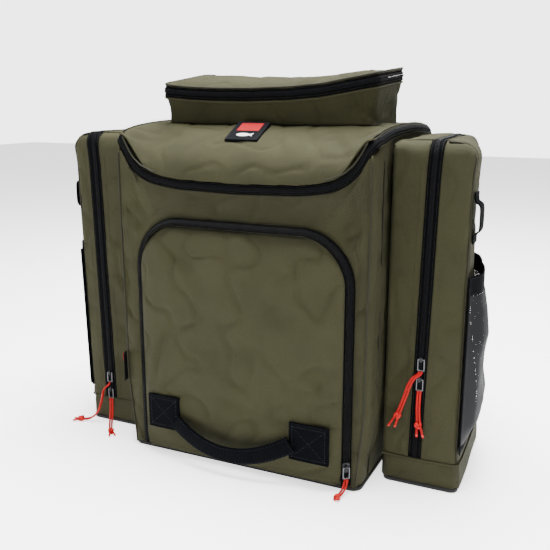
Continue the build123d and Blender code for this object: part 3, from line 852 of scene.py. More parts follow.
def rounded_plan(x0, x1, y0, y1, radius, count):
    """Rounded rectangle in plan from the middle of the rear, anticlockwise, with an even count of points."""
    pts = []
    for cx, cy, a0 in ((x0, y1, 90), (x0, y0, 180), (x1, y0, 270), (x1, y1, 0)):
        sx = cx + radius if cx == x0 else cx - radius
        sy = cy + radius if cy == y0 else cy - radius
        for k in range(9):
            a = math.radians(a0 + k * 11.25)
            pts.append(Vector((sx + radius * math.cos(a), sy + radius * math.sin(a), 0)))
    start = Vector(((x0 + x1) / 2, y1, 0))
    loop = [start] + pts + [start]
    total = path_length(loop)
    out = []
    k = 0
    walked = 0.0
    for i in range(count):
        target = total * i / count
        while k < len(loop) - 2 and walked + (loop[k + 1] - loop[k]).length < target:
            walked += (loop[k + 1] - loop[k]).length
            k += 1
        leg = (loop[k + 1] - loop[k]).length or 1.0
        out.append(loop[k].lerp(loop[k + 1], clamp((target - walked) / leg)))
    return out


def top_zip_z(x, y):
    """The sagging zip line: lowest at the middle of the front, rising to the rear."""
    return SMILE_Z + table_value(SMILE, x) + (y - TOP_FRONT) * lerp(0.125, 0.08, smooth(-60, 150, x))


def top_reach(p):
    """Half the zip's width round the top pocket; next to nothing along its rear hinge."""
    return lerp(0.3, 7.8, max(smooth(66, 58, p.y), smooth(138, 156, abs(p.x))))


plan = rounded_plan(-TOP_HALF, TOP_HALF, TOP_FRONT, TOP_REAR, TOP_ROUND, TOP_N)
rows = []
held = []
for i in range(13):
    t = i / 12
    row = []
    for p in plan:
        high = top_zip_z(p.x, p.y) - top_reach(p)
        n = Vector((p.x * 0.25, p.y + 2, 0)).normalized()
        bulge = lerp(-8.0, -0.5, smooth(0.05, 0.95, t))
        bulge -= 2.5 * math.sin(math.pi * t) * smooth(100, 160, abs(p.x))
        q = p + n * bulge
        row.append((q.x, q.y, lerp(486.0, high, t)))
        held.append(clamp(min(t, 1 - t) * 5 + 0.15))
    rows.append(row)
olive_panel("top_pocket_wall", rows, ["top_pocket_shell"], "lid", 1.4, held, wrap=True)
first = next(i for i, p in enumerate(plan) if p.x < -150)
ordered = [p for p in plan[first:] if not (p.y > 60 and p.x > 0 and p.x < 150)]
zip_path = [(p.x, p.y, top_zip_z(p.x, p.y)) for p in ordered[::4]]


def top_out(p):
    depth = p.y - TOP_MID
    x = 0.0 if abs(p.x) < TOP_FLAT_X else (p.x - math.copysign(TOP_FLAT_X, p.x)) / TOP_ROUND
    y = 0.0 if abs(depth) < TOP_FLAT_Y else (depth - math.copysign(TOP_FLAT_Y, depth)) / TOP_ROUND
    return (x, y, 0.12) if abs(x) + abs(y) > 0.01 else (0, -1, 0.12)


zip_tape("top_zip", zip_path, top_out, ("lid", ["top_zip_lower"]), ("top_lid", ["top_zip_upper"]), -1,
         (TOP_REACH, TOP_REACH))
lip = Patchwork()
lip_path = [(p.x, p.y, top_zip_z(p.x, p.y) - 10.5) for p in ordered[::4]]
strip(lip, run(lip_path, 4, top_out), [(s, h - 0.6) for s, h in round_section(1.7)])
lip.make("top_pocket_lip", OLIVE, "lid", "fabric_olive")


def cap_half(y):
    """Half-width of the cap at a depth: a rectangle with rounded corners."""
    over = abs(y - TOP_MID) - TOP_FLAT_Y
    return TOP_HALF if over <= 0 else TOP_FLAT_X + math.sqrt(max(0.0, TOP_ROUND ** 2 - over ** 2))


def cap_z(x, y):
    """The cap climbs gently from the zip at its front edge to its rear edge and sags in the middle."""
    rim = top_zip_z(x, y) + top_reach(Vector((x, y, 0))) + 0.9
    edge = max(0.0, min(cap_half(y) - abs(x), y - TOP_FRONT, TOP_REAR - y))
    front = top_zip_z(x, TOP_FRONT) + 20
    rear = 558 - 3.0 * math.exp(-((x + 10) / 80) ** 2) + 3 * smooth(60, 150, x)
    crown = lerp(front, max(rear, top_zip_z(x, TOP_REAR) + 3), smooth(-75, 40, y))
    return max(rim + 0.2, lerp(rim, crown, 1 - math.exp(-edge / 16)))


rows = []
held = []
for i in range(49):
    v = -1 + i / 24
    y = TOP_MID + (TOP_REAR - TOP_MID) * (0.5 * v + 0.5 * math.sin(v * math.pi / 2))
    row = []
    for k in range(91):
        u = -1 + k / 45
        x = cap_half(y) * (0.6 * u + 0.4 * math.sin(u * math.pi / 2))
        row.append((x, y, cap_z(x, y)))
        held.append(clamp(min(k, 90 - k, i, 48 - i) / 5 + 0.1))
    rows.append(row)
olive_panel("top_pocket_cap", rows, ["top_pocket_lid"], "top_lid", 1.1, held)
# The welt round the cap above its zip.
welt = Patchwork()
welt_path = [(p.x, p.y, top_zip_z(p.x, p.y) + 8.9) for p in ordered[::4]]
strip(welt, run(welt_path, 4, top_out), [(s, h - 0.9) for s, h in round_section(1.5)])
welt.make("top_pocket_welt", SEAM_SHADE_PIPING, "top_lid", "fabric_olive")
floor_cloth = Patchwork()
floor_cloth.add([(p.x * 0.98, p.y * 0.97, 489.0) for p in plan], [tuple(range(TOP_N))])
floor_cloth.make("top_pocket_floor", OLIVE_IN, "lid", "fabric_olive")


# ---------------------------------------------------------------- front flap and its arched zip
# The flap's arch: where it leaves its straight sides, where its top turns level, and its radius; and
# where the top of its zip turns level.
FLAP_SPRING, FLAP_FLAT, FLAP_ROUND = 284, 94.6, 66
ZIP_FLAT = 95


def tilt(z):
    """How far the arch's zip leans from facing forward (0) to facing out (1)."""
    return 0.42 + 0.3 * smooth(ARCH_SPRING, 361, z)


zip_mid = []
for x, z in arch_count(arch_points(166.5, 9, 355.5, 71), 150):
    zip_mid.append((skew(x), -155.5 - 2.5 * smooth(290, 356, z), z))


def arch_out(p):
    """Outward and forward direction of the arch's slanting zip."""
    if p.z < FLAP_SPRING:
        flat = Vector((math.copysign(1, p.x), 0, 0))
    elif abs(p.x) > ZIP_FLAT:
        flat = Vector((p.x - math.copysign(ZIP_FLAT, p.x), 0, p.z - FLAP_SPRING)).normalized()
    else:
        flat = Vector((0, 0, 1))
    lean = tilt(p.z)
    return flat * lean + Vector((0, -1, 0)) * (1 - lean * 0.55)


zip_tape("front_zip", zip_mid, arch_out, ("pack", ["front_zip_fixed"]), ("flap", ["front_zip_moving"]), 1,
         (FLAP_REACH, FLAP_REACH))


def flap_half(z):
    """Half-width of the flap at a height: straight sides under a round-cornered arch."""
    if z <= FLAP_SPRING:
        return FLAP_FLAT + FLAP_ROUND - 3 * smooth(30, 8, z)
    return FLAP_FLAT + math.sqrt(max(0.0, FLAP_ROUND ** 2 - (z - FLAP_SPRING) ** 2))


def flap_y(x, z):
    """The flap swells from its zip to a full, slightly sagging front."""
    edge = min(flap_half(z) - abs(x), 350 - z)
    if z > FLAP_SPRING and abs(x) > FLAP_FLAT:
        edge = FLAP_ROUND - math.hypot(abs(x) - FLAP_FLAT, z - FLAP_SPRING)
    edge = clamp(edge, 0, 160)
    low = smooth(0, 60, z - 12)
    rise = 8.0 * (1 - math.exp(-edge / 14.0)) * (0.35 + 0.65 * low)
    rise += 2.6 * smooth(20, 120, edge) * low
    return -159.3 - rise + 1.8 * smooth(300, 345, z)


rows = []
held = []
for i in range(85):
    z = lerp(12.5, 349.9, i / 84)
    half_w = flap_half(z)
    row = []
    for k in range(81):
        u = -1 + k / 40
        x = half_w * (0.55 * u + 0.45 * math.sin(u * math.pi / 2))
        row.append((skew(x), flap_y(x, z), z))
        held.append(clamp((half_w - abs(x)) / 10 + 0.1) * near_edge(i, 84, 3))
    rows.append(row)
olive_panel("front_flap_cloth", rows, ["front_flap"], "flap", 1.5, held)
foot_rows = []
for t, y in ((0, -151.0), (0.5, -156.0), (1.0, -161.0)):
    foot_rows.append([(skew(x), y, 11 + 1.5 * t) for x in range(-154, 155, 7)])
olive_panel("front_flap_foot", foot_rows[::-1], [], "flap", 0.2)


# ---------------------------------------------------------------- side pockets
# Side pockets, as distances from the middle of the bag and heights: the inner and outer side, the
# top, the outer side at the top (left and right), the radius of the two upper corners, the low seam
# and how far the faces swell.
POCKET_IN = 197
POCKET_OUT = 306
POCKET_TOP = 472
POCKET_TOP_OUT = {-1: 316, 1: 307}
POCKET_R_IN = 13
POCKET_R_OUT = 27
SEAM_Z = 43
FACE_SWELL = 2.7
# The side zip's width on the body's side of its teeth.
SIDE_REACH = 8.8


def pocket_outline(side):
    """The side pocket's outline in X and Z, from the inner foot up, over and down to the outer foot."""
    top_out = POCKET_TOP_OUT[side]
    pts = [(POCKET_IN, z) for z in range(4, 459, 6)]
    n = 14
    x0, x1 = POCKET_IN + POCKET_R_IN, top_out - POCKET_R_OUT
    for k in range(9):
        a = math.pi - k / 8 * math.pi / 2
        pts.append((x0 + POCKET_R_IN * math.cos(a), POCKET_TOP - POCKET_R_IN + POCKET_R_IN * math.sin(a)))
    pts += [(lerp(x0, x1, k / n), POCKET_TOP + 1.5 * math.sin(math.pi * k / n)) for k in range(1, n)]
    for k in range(11):
        a = math.pi / 2 - k / 10 * math.pi / 2
        pts.append((x1 + POCKET_R_OUT * math.cos(a), POCKET_TOP - POCKET_R_OUT + POCKET_R_OUT * math.sin(a)))
    for z in range(439, 3, -6):
        pts.append((POCKET_OUT + (top_out - POCKET_OUT) * z / POCKET_TOP, z))
    return pts


def zip_x(side, z):
    """Distance from the middle of the bag to the side pocket's zip."""
    return (246 + 10 * (z - 42) / 430) if side > 0 else (262 + 10.5 * (z - 42) / 430)


def taper(y, z):
    """How far the pocket's outer side has come in by a depth and height."""
    waist = 4 * smooth(20, 60, z) * smooth(470, 420, z)
    return waist + 30 * smooth(-75, 92, y) * (0.25 + 0.75 * smooth(40, 260, z))


def warp(side, x, y, z):
    """A point of the square pocket drawn in towards the rear; x is its distance from the middle."""
    return (side * (x - clamp((x - 235) / 71) * taper(y, z)), y, z)


def top_back(z):
    """The rounding where the front and rear faces meet the pocket's top."""
    return 18 * (1 - math.sqrt(max(0.0, 1 - clamp((z - 454) / 18) ** 2)))


def belly(x):
    """The pocket's swell across its faces: 0 at its edges, 1 half way."""
    return math.sin(math.pi * clamp((x - POCKET_IN) / 110))


def swell(x, z):
    """How far the pocket's faces stand out at a place."""
    return FACE_SWELL * belly(x) * smooth(0, 60, z)


def pocket_pieces(name, side):
    """Front and rear faces plus the band round the outline, parted along the zip and the low seam."""
    outline = pocket_outline(side)

    def face_panel(label, y, x_from, x_to, z_from, z_to, body, nodes, rear):
        """One flat stretch of the front or rear face; x_from and x_to give the edges at a height."""
        rows = []
        held = []
        nz = max(3, int((z_to - z_from) / 6))
        nx = 14
        turned = -1 if rear else 1
        for i in range(nz + 1):
            z = lerp(z_from, z_to, i / nz)
            row = []
            for k in range(nx + 1):
                x = lerp(x_from(z), x_to(z), k / nx)
                # the face turns back where it meets the inner, outer and top edges
                gap = min(x - POCKET_IN, outer_edge(z) - x)
                back = 9 * (1 - math.sqrt(max(0.0, 1 - (1 - clamp(gap / 9)) ** 2)))
                back = max(back, top_back(z))
                row.append(warp(side, x, y + turned * (back - swell(x, z)), z))
                held.append(near_edge(k, nx, 2.5) * near_edge(i, nz, 2.0))
            rows.append(row)
        if (side > 0) == rear:
            rows = [r[::-1] for r in rows]
        olive_panel(f"{label}_{name}", rows, nodes, body, 1.25, held)

    def outer_edge(z):
        flat = POCKET_OUT + (POCKET_TOP_OUT[side] - POCKET_OUT) * z / POCKET_TOP
        if z > 445:
            h = z - 445
            flat = flat - POCKET_R_OUT + math.sqrt(max(0.0, POCKET_R_OUT ** 2 - h * h))
        return flat

    def inner_edge(z):
        if z > 459:
            h = z - 459
            return POCKET_IN + POCKET_R_IN - math.sqrt(max(0.0, POCKET_R_IN ** 2 - h * h))
        return POCKET_IN

    reach = 9.0
    wide_out = 13.0 if side < 0 else 9.0
    for rear in (False, True):
        y = 90 if rear else -98
        tag = "rear" if rear else "front"
        face_panel(f"pocket_{tag}_inner", y, inner_edge, lambda z: zip_x(side, z) - reach, SEAM_Z, 471.9,
                   "pack", [f"side_shell_{name}"], rear)
        face_panel(f"pocket_{tag}_outer", y, lambda z: zip_x(side, z) + wide_out + 0.2, outer_edge,
                   SEAM_Z, 471.9, f"door_{name}", [f"side_door_{name}"], rear)
        face_panel(f"pocket_{tag}_foot", y, inner_edge, outer_edge, 5, 42, "pack", [], rear)

    def band_rows(points, y0=-89, y1=81):
        rows = []
        held = []
        ny = 28
        for i, (x, z) in enumerate(points):
            row = []
            for k in range(ny + 1):
                inner = max(0.0, top_back(min(z, 471.5)) - 9)
                y = lerp(y0 + inner, y1 - inner, k / ny)
                row.append(warp(side, x, y, z))
                held.append(near_edge(k, ny, 2.5) * near_edge(i, len(points) - 1, 2.0))
            rows.append(row)
        if side > 0:
            rows = rows[::-1]
            held = held[::-1]
        return rows, held

    inner_pts = [(x, z) for x, z in outline if x < zip_x(side, z) - reach and z >= SEAM_Z]
    inner_pts.append((zip_x(side, POCKET_TOP) - reach, POCKET_TOP + 1.3))
    outer_pts = [(x, z) for x, z in outline if x > zip_x(side, z) + wide_out and z >= SEAM_Z]
    outer_pts.insert(0, (zip_x(side, POCKET_TOP) + wide_out, POCKET_TOP + 1.3))
    foot_out = [(outer_edge(z), z) for z in (42, 36, 28, 20, 12, 5)]
    foot_in = [(POCKET_IN, z) for z in (5, 20, 42)]
    for label, pts, body in (
        ("pocket_inner_band", inner_pts, "pack"),
        ("pocket_outer_band", outer_pts, f"door_{name}"),
        ("pocket_foot_outer", foot_out, "pack"),
        ("pocket_foot_inner", foot_in, "pack"),
    ):
        rows, held = band_rows(pts)
        olive_panel(f"{label}_{name}", rows, [], body, 1.2, held)

    # zip up the front, over the top and down the rear
    def stand_out(z):
        return swell(zip_x(side, z), z) - top_back(z)

    levels = [SEAM_Z + 15 * k for k in range(27)] + [449, 456, 461, 465, 468, 470.4, 471.6]
    front = [warp(side, zip_x(side, z), -98.3 - stand_out(z), z + 0.4) for z in levels]
    rear = [warp(side, zip_x(side, z), 90.3 + stand_out(z), z + 0.4) for z in levels]
    crown = [warp(side, zip_x(side, POCKET_TOP), y, 473.2) for y in range(-74, 68, 14)]
    path = front + crown + rear[::-1]

    def out(p):
        facing = -1 if p.y < 0 else 1
        if p.z < 454:
            return (0, facing, 0)
        rise = clamp((p.z - 454) / 18.5) * math.pi / 2
        return (0, facing * math.cos(rise), math.sin(rise))

    fixed = ("pack", [f"side_zip_fixed_{name}"])
    opening = (f"door_{name}", [f"side_zip_moving_{name}"])
    reaches = (wide_out, SIDE_REACH) if side < 0 else (SIDE_REACH, wide_out)
    zip_tape(f"side_zip_{name}", path, out, fixed, opening, 1 if side > 0 else -1, reaches)

    # seams: round the outer edge of both faces, in piping darkened as painted shade for the seam's shadow
    # line, and along the low seam
    edge = Patchwork()
    sewing = Patchwork()
    for y, sign in ((-93.6, -1), (85.6, 1)):
        pts = [warp(side, outer_edge(z) - 1.6, y, z) for z in range(44, 440, 14)]
        over = [(x, z) for x, z in outline if z > 446 and x > zip_x(side, z) + 12]
        pts += [warp(side, x - 1.6, y - sign * top_back(min(z, 466)), z - 1.6) for x, z in reversed(over)]
        strip(edge, run(pts, 5, (side, sign, 0.2)), round_section(1.3))
    edge.make(f"pocket_piping_{name}", SEAM_SHADE_PIPING, f"door_{name}", "fabric_olive")
    for y, sign in ((-99.0, -1), (91.0, 1)):
        for off in (-(reach + 9), wide_out + 9):
            line = [warp(side, zip_x(side, z) + off, y, z) for z in range(46, 446, 8)]
            line = [(x, yy + sign * FACE_SWELL * 0.6 * belly(abs(x)), z) for x, yy, z in line]
            stitches(sewing, run(line, 3, (0, sign, 0)), 0, 0.6, 4.2, 3.0, 0.42)
    sewing.make(f"pocket_sewing_{name}", THREAD, f"door_{name}", "fabric_olive")
    low = Patchwork()
    ring = ((200, -98.8), (250, -100.2), (296, -98.8), (304, -95), (307, -86), (307.2, 0), (307, 78),
            (304, 87), (296, 90.8), (250, 92.2), (200, 90.8))
    loop = [warp(side, x, y, 41) for x, y in ring]
    outward = run(loop, 4, lambda p: (p.x - side * 250, (p.y + 4) * 0.8, 0))
    strip(low, outward, [(s, h * 0.7) for s, h in round_section(1.6)])
    low.make(f"pocket_low_seam_{name}", OLIVE, "pack", "fabric_olive")


for pocket_name, pocket_side in (("left", -1), ("right", 1)):
    pocket_pieces(pocket_name, pocket_side)


# ---------------------------------------------------------------- mesh pockets, hems and loops
# How far the net stands off the pocket, by height.
NET_SAG = [(60, 1.0), (74, 8), (92, 17), (118, 20), (150, 18), (185, 21), (215, 24), (250, 21), (277, 16),
           (302, 11)]
# The accessory loop's line: how far out, and at what height.
LOOP_LINE = ((0.8, 344), (0.8, 352), (2, 356), (6, 358.5), (8, 363), (8.4, 376), (8, 390), (6, 394.5),
             (2, 397), (0.8, 401), (0.8, 409))
for name, side in (("left", -1), ("right", 1)):
    lean = (POCKET_TOP_OUT[-1] - POCKET_OUT) / POCKET_TOP if side < 0 else 0.0

    def face_at(z, y=-5.0):
        full = POCKET_OUT + lean * z + (1.5 if side > 0 else 0)
        return abs(warp(side, full, y, z)[0])

    def mesh_point(y, z, more=0.0):
        """The net hangs off the face: deep in the middle and pinched to the face at both edges."""
        mid = 1 - abs((y + 5) / 89.5) ** 4
        sag = table_value(NET_SAG, z) * (0.3 + 0.7 * mid) if abs(y + 5) < 89 else 0.0
        wave = 1.8 * noise.noise(Vector((y * 0.03, z * 0.03, 4.0 * side))) * mid
        off = max(0.6, sag * min(1.0, 1.35 * mid + 0.02)) + wave + more
        return Vector((side * (face_at(z, y) + off), y, z))

    rows = []
    for i in range(49):
        rows.append([mesh_point(-94 + 178 * k / 50, 60 + 216 * i / 48) for k in range(51)])
    verts = [p for row in rows for p in row]
    faces = grid_faces(len(rows), 51)
    uvs = [(k * 3.6, i * 4.5) for i in range(len(rows)) for k in range(51)]
    sheet = make(f"mesh_pocket_{name}_net", verts, faces, NET, f"door_{name}", uvs)
    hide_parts(f"mesh_pocket_{name}")
    hem = Patchwork()
    line = [mesh_point(-95 + 180 * k / 40, 289.0) for k in range(41)]
    hem_rows = frames(line, lambda p: (side, 0, 0))
    strip(hem, hem_rows, slab_section(-12.5, 12.5, -0.6, 1.0, 6, 0.5))
    band = hem.make(f"mesh_hem_{name}_band", WEBBING, f"door_{name}", "webbing_black")
    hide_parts(f"mesh_hem_{name}")
    bind = Patchwork()
    for y in (-95, 85):
        pts = [mesh_point(y, z, 0.8) for z in range(60, 300, 12)]
        strip(bind, frames(pts, lambda p: (side, 0, 0)), slab_section(-4, 4, -0.4, 1.0, 3, 0.3))
    pts = [Vector((side * (face_at(60, y) + 1.2), y, 60)) for y in range(-95, 86, 12)]
    strip(bind, frames(pts, lambda p: (side, 0, 0)), slab_section(-4, 4, -0.4, 1.0, 3, 0.3))
    bind.make(f"mesh_binding_{name}", WEBBING, f"door_{name}", "mesh_black")
    sewn = Patchwork()
    for off in (-10.5, 10.5):
        stitches(sewn, run(line, 3, (side, 0, 0)), off, 1.4, 3.4, 2.3, 0.28)
    sewn.make(f"mesh_hem_sewing_{name}", BLACK_THREAD, f"door_{name}", "webbing_black")
    # accessory loop
    loop = Patchwork()
    root = face_at(376, -77.5) + 0.2
    pts = [(side * (root + d), -77.5, z) for d, z in LOOP_LINE]
    strip(loop, run(pts, 2, (side, 0, 0)), slab_section(-12.5, 12.5, -0.9, 0.7, 6, 0.2))
    piece = loop.make(f"accessory_loop_{name}_web", WEBBING, f"door_{name}", "webbing_black")
    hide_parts(f"accessory_loop_{name}")


# ---------------------------------------------------------------- front handle and its patches
patch_work = Patchwork()
patch_sewing = Patchwork()
for x0, x1, z0, z1 in ((-140, -88, 46, 97), (88, 146, 40, 94)):
    pts = [((x0 + x1) / 2, -169.6, z) for z in (z0, (z0 * 2 + z1) / 3, (z0 + z1 * 2) / 3, z1)]
    w = (x1 - x0) / 2
    strip(patch_work, run(pts, 4, (0, -1, 0)), slab_section(-w, w, -2.2, 1.2, 10, 0.5))
    corners = ((x0 + 5, z0 + 5), (x1 - 5, z0 + 5), (x1 - 5, z1 - 5), (x0 + 5, z1 - 5))
    a, b, c, d = (Vector((x, -170.9, z)) for x, z in corners)
    for p, q in ((a, b), (b, c), (c, d), (d, a), (a, c), (b, d)):
        line = [p.lerp(q, k / 30) for k in range(31)]
        stitches(patch_sewing, frames(line, lambda v: (0, -1, 0)), 0, 0.3, 3.4, 2.4, 0.35)
patches = patch_work.make("handle_patch_webbing", WEBBING, "flap", "webbing_black")
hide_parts("handle_patches")
patch_sewing.make("handle_patch_sewing", BLACK_THREAD, "flap", "webbing_black")
handle = Patchwork()
pts = []
for k in range(41):
    x = lerp(-93, 91, k / 40)
    u = (x + 1) / 92
    pts.append((x, -185.0 + 12.2 * u * u, 33.5 + 29 * u * u))
rows = frames([Vector(p) for p in pts], lambda p: (0, -1, -0.1))
# the webbing is folded round, so it reads as a soft roll 25 mm high
strip(handle, rows, soft_oval(28, 12.4, 0.7, 3.0, 0.8))
grip = handle.make("front_handle_webbing", WEBBING, "front_handle", "webbing_black")
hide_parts("front_handle")
fold = Patchwork()
stitches(fold, rows, 9.6, 2.4, 3.6, 2.6, 0.3)
stitches(fold, rows, -9.6, 2.4, 3.6, 2.6, 0.3)
fold.make("front_handle_sewing", BLACK_THREAD, "front_handle", "webbing_black")

# A plain side tag with a red band.
tag_rows = [(Vector((-190.5 + 0.4 * k, -150.5 - 12.0 * k / 6, 0)), k) for k in range(7)]
verts = []
for p, k in tag_rows:
    for j in range(10):
        z = 105 + 45 * j / 9
        verts.append((p.x - 0.9 * math.sin(k * 0.6 + j * 0.15), p.y, z))
tag_obj = make("side_tag", verts, grid_faces(7, 10), PATCH, "pack", None)
thicken(tag_obj, 0.9, 0)
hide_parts("seam_label")
verts = [(-191.6, -153, 136), (-191.6, -158.6, 136), (-191.6, -158.6, 148), (-191.6, -153, 148)]
thicken(make("side_tag_band", verts, [(0, 1, 2, 3)], RED_THREAD, "pack", None), 0.3, 0)


# ---------------------------------------------------------------- sliders and wire pullers
def soften(node, mat, width=0.4):
    """A carried-over CAD part: its material, and its edges rounded over."""
    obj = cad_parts[node]
    obj.data.materials.clear()
    obj.data.materials.append(mat)
    bevel = obj.modifiers.new("edges", "BEVEL")
    bevel.width = width * MM
    bevel.segments = 2
    bevel.limit_method = "ANGLE"
    bevel.angle_limit = math.radians(40)
    return obj


PULLS = ("side_right_upper", "side_right_lower", "side_left_upper", "side_left_lower", "front", "lid", "top")
for name in PULLS:
    soften(f"slider_{name}", SLIDER)
    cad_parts[f"puller_{name}"].data.materials.clear()
    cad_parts[f"puller_{name}"].data.materials.append(WIRE)


# ---------------------------------------------------------------- red pull cords
def tube(work, points, radius, out_hint=(0.3, -1, 0.2), taper=None):
    """A round tube along points; taper gives a factor on the radius at 0 to 1 along it."""
    rows = frames(points, lambda p: out_hint)
    sides = 10
    verts = []
    uvs = []
    walked = 0.0
    for i, (p, along, across, out) in enumerate(rows):
        if i:
            walked += (p - rows[i - 1][0]).length
        r = radius * (taper(i / (len(rows) - 1)) if taper else 1.0)
        for a in range(sides):
            ang = 2 * math.pi * a / sides
            verts.append(p + across * (math.cos(ang) * r) + out * (math.sin(ang) * r))
            uvs.append((a * 2 * math.pi * radius / sides, walked))
    faces = grid_faces(len(rows), sides, wrap=True)
    faces.append(tuple(range(sides)))
    faces.append(tuple(reversed(range(len(verts) - sides, len(verts)))))
    work.add(verts, faces, uvs)


def cord_spline(name, points):
    curve = bpy.data.curves.new(name, "CURVE")
    curve.dimensions = "3D"
    spline = curve.splines.new("NURBS")
    spline.points.add(len(points) - 1)
    for knot, p in zip(spline.points, points):
        knot.co = (*(Vector(p) * MM), 1)
    spline.order_u = 3
    spline.use_endpoint_u = True
    spline.resolution_u = 12
    obj = bpy.data.objects.new(name, curve)
    bpy.context.scene.collection.objects.link(obj)
    return obj


def spline_points(obj):
    """The spline's own smooth line, in millimetres."""
    mesh = bpy.data.meshes.new_from_object(obj)
    pts = [v.co / MM for v in mesh.vertices]
    bpy.data.meshes.remove(mesh)
    return pts


def overhand(centre, axis):
    """A small overhand knot: a trefoil of cord about its axis."""
    size = 4.4
    axis = Vector(axis).normalized()
    side_a = axis.cross(Vector((0.2, 0.9, 0.35))).normalized()
    side_b = axis.cross(side_a)
    pts = []
    for k in range(49):
        t = 2 * math.pi * k / 48
        a = math.sin(t) + 2 * math.sin(2 * t)
        b = math.cos(t) - 2 * math.cos(2 * t)
        c = -math.sin(3 * t)
        flat = (side_a * a * 0.36 + side_b * b * 0.36) * size * 0.75
        pts.append(Vector(centre) + flat + axis * c * size * 0.62)
    return pts


def pull_cord(name, route, width, tail):
    """A doubled cord from the wire puller to its knot, with two short tails whose tips are sealed."""
    knot_work = Patchwork()
    end = Vector(route[-1])
    centre = Vector((end.x, end.y, max(end.z, 5.2)))
    way = end - Vector(route[-2])
    loop = overhand(centre, way)
    tube(knot_work, loop, 2.0, (0.31, 0.2, 0.93))
    knot = knot_work.make(f"knot_{name}", CORD_RED, f"pull_{name}", "cord_red")
    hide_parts(f"pull_cord_{name}")
    for mark, side in (("a", -1.75), ("b", 1.75)):
        shift = Vector((side * width[0], side * width[1], 0))
        pts = [Vector(p) + shift for p in route]
        if any(tail):
            pts.append(end + Vector(tail) + shift * 2.6)
        line = cord_spline(f"cord_{name}_{mark}", pts)
        along = spline_points(line)
        line.data.bevel_depth = 1.5 * MM
        line.data.bevel_resolution = 3
        line.data.use_fill_caps = True
        line.data.materials.append(CORD_RED)
        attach(line, f"pull_{name}")
        if any(tail):
            tip_work = Patchwork()
            tip = [p for p in along if (p - along[-1]).length < 4.2]
            tube(tip_work, resample(tip, 0.5), 1.7, (0.31, -0.9, 0.3), lambda t: 1.0 - 0.35 * t * t)
            tip_obj = tip_work.make(f"cord_tip_{name}_{mark}", TIP, f"pull_{name}", "cord_red")


HANG_Y = -102.4
x = 249.35
pull_cord("side_right_upper", [(x, HANG_Y, 169.6), (x - 0.4, HANG_Y - 1, 166), (x - 11, -108, 159),
                               (x - 19, -109, 130), (x - 28, -106, 104)], (1, 0), (-8, -1, -18))
x = 248.70
pull_cord("side_right_lower", [(x, HANG_Y, 142), (x - 0.6, -104.6, 120), (x + 1.5, -105, 94)], (1, 0),
          (3, -1, -17))
x = -263.02
pull_cord("side_left_upper", [(x, HANG_Y, 69.6), (x - 0.4, HANG_Y - 1, 66), (x - 10, -108, 59),
                              (x - 13, -110, 38), (x - 20, -113, 16), (x - 34, -117, 4.2),
                              (x - 48, -122, 4.2)],
          (0.3, -0.95), (-12, -5, -1.2))
x = -262.37
pull_cord("side_left_lower", [(x, HANG_Y, 42), (x + 0.5, HANG_Y - 0.5, 36), (x + 3, -107, 22),
                              (x + 9, -119, 6), (x + 20, -134, 4.2), (x + 27, -142, 4.2)],
          (0.74, 0.67), (9, -9, -1.2))
pull_cord("front", [(168.44, -159.66, 21.8), (168.44, -161.66, 13), (165.44, -171.66, 5),
                    (163.44, -181.66, 4.2)], (1, 0), (0, 0, 0))


# ---------------------------------------------------------------- back pads, shoulder straps and haul handle
def pad(name, x0, x1, z0, z1, y0, depth):
    """A crowned foam pad in spacer mesh, quilted by sewn channels across it."""
    rows = []
    for i in range(81):
        z = lerp(z0, z1, i / 80)
        row = []
        for k in range(33):
            x = lerp(x0, x1, k / 32)
            u = abs(2 * k / 32 - 1)
            v = abs(2 * i / 80 - 1)
            corner = clamp(1 - u ** 6) ** 0.5 * clamp(1 - v ** 18) ** 0.5
            channel = 0.0
            for line in (0.25, 0.5, 0.75):
                channel = max(channel, math.exp(-(((i / 80 - line) * (z1 - z0) / 4.5) ** 2)))
            lift = depth * corner * (1 - 0.55 * channel) * (0.88 + 0.12 * (1 - u * u))
            row.append((x, y0 + lift, z))
        rows.append(row[::-1])
    verts = [p for row in rows for p in row]
    faces = grid_faces(81, 33)
    obj = make(name, verts, faces, PAD, "pack", [(v[0], v[2]) for v in verts])
    edge = Patchwork()
    plan = [(x0 + 4, z0 + 2), (x1 - 4, z0 + 2), (x1 - 1, z0 + 6), (x1 - 1, z1 - 6), (x1 - 4, z1 - 2),
            (x0 + 4, z1 - 2), (x0 + 1, z1 - 6), (x0 + 1, z0 + 6), (x0 + 4, z0 + 2)]
    ring = [(x, y0 + 1.2, z) for x, z in plan]
    strip(edge, run(ring, 6, (0, 1, 0)), [(s * 1.6, h) for s, h in round_section(1.5)])
    edge.make(f"{name}_binding", WEBBING, "pack", "pad_mesh")
    return obj


left_pad = pad("back_pad_left", -140, -24, 90, 410, 150.3, 15)
pad("back_pad_right", 24, 140, 90, 410, 150.3, 15)
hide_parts("back_pads")

STRAP_LINE = [(150.8, 462), (176, 466), (208, 420), (214, 330), (205, 230), (192, 172)]
for name, side in (("left", -1), ("right", 1)):
    cx = side * 92
    line = resample([(cx, y, z) for y, z in STRAP_LINE], 5)
    middle = Vector((cx, 150, 320))
    rows = frames(line, lambda p: p - middle)
    body = Patchwork()
    strip(body, rows, soft_oval(40, 33.5, 0.55, 5.6, 0.6, 0.2))
    strap = body.make(f"shoulder_strap_{name}", PAD, "pack", "pad_mesh")
    bind = Patchwork()
    for s in (-33.2, 33.2):
        strip(bind, rows, [(s + a * 1.0, b * 1.9) for a, b in round_section(1.9)])
    strip(bind, rows[6:-2], slab_section(-12.5, 12.5, 5.4, 7.0, 4, 0.2))
    bind.make(f"shoulder_strap_{name}_webbing", WEBBING, "pack", "webbing_black")
    sewn = Patchwork()
    for s in (-10.5, 10.5):
        stitches(sewn, rows[6:-2], s, 7.2, 3.6, 2.6, 0.3)
    sewn.make(f"shoulder_strap_{name}_sewing", BLACK_THREAD, "pack", "webbing_black")
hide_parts("shoulder_straps")
webs = Patchwork()
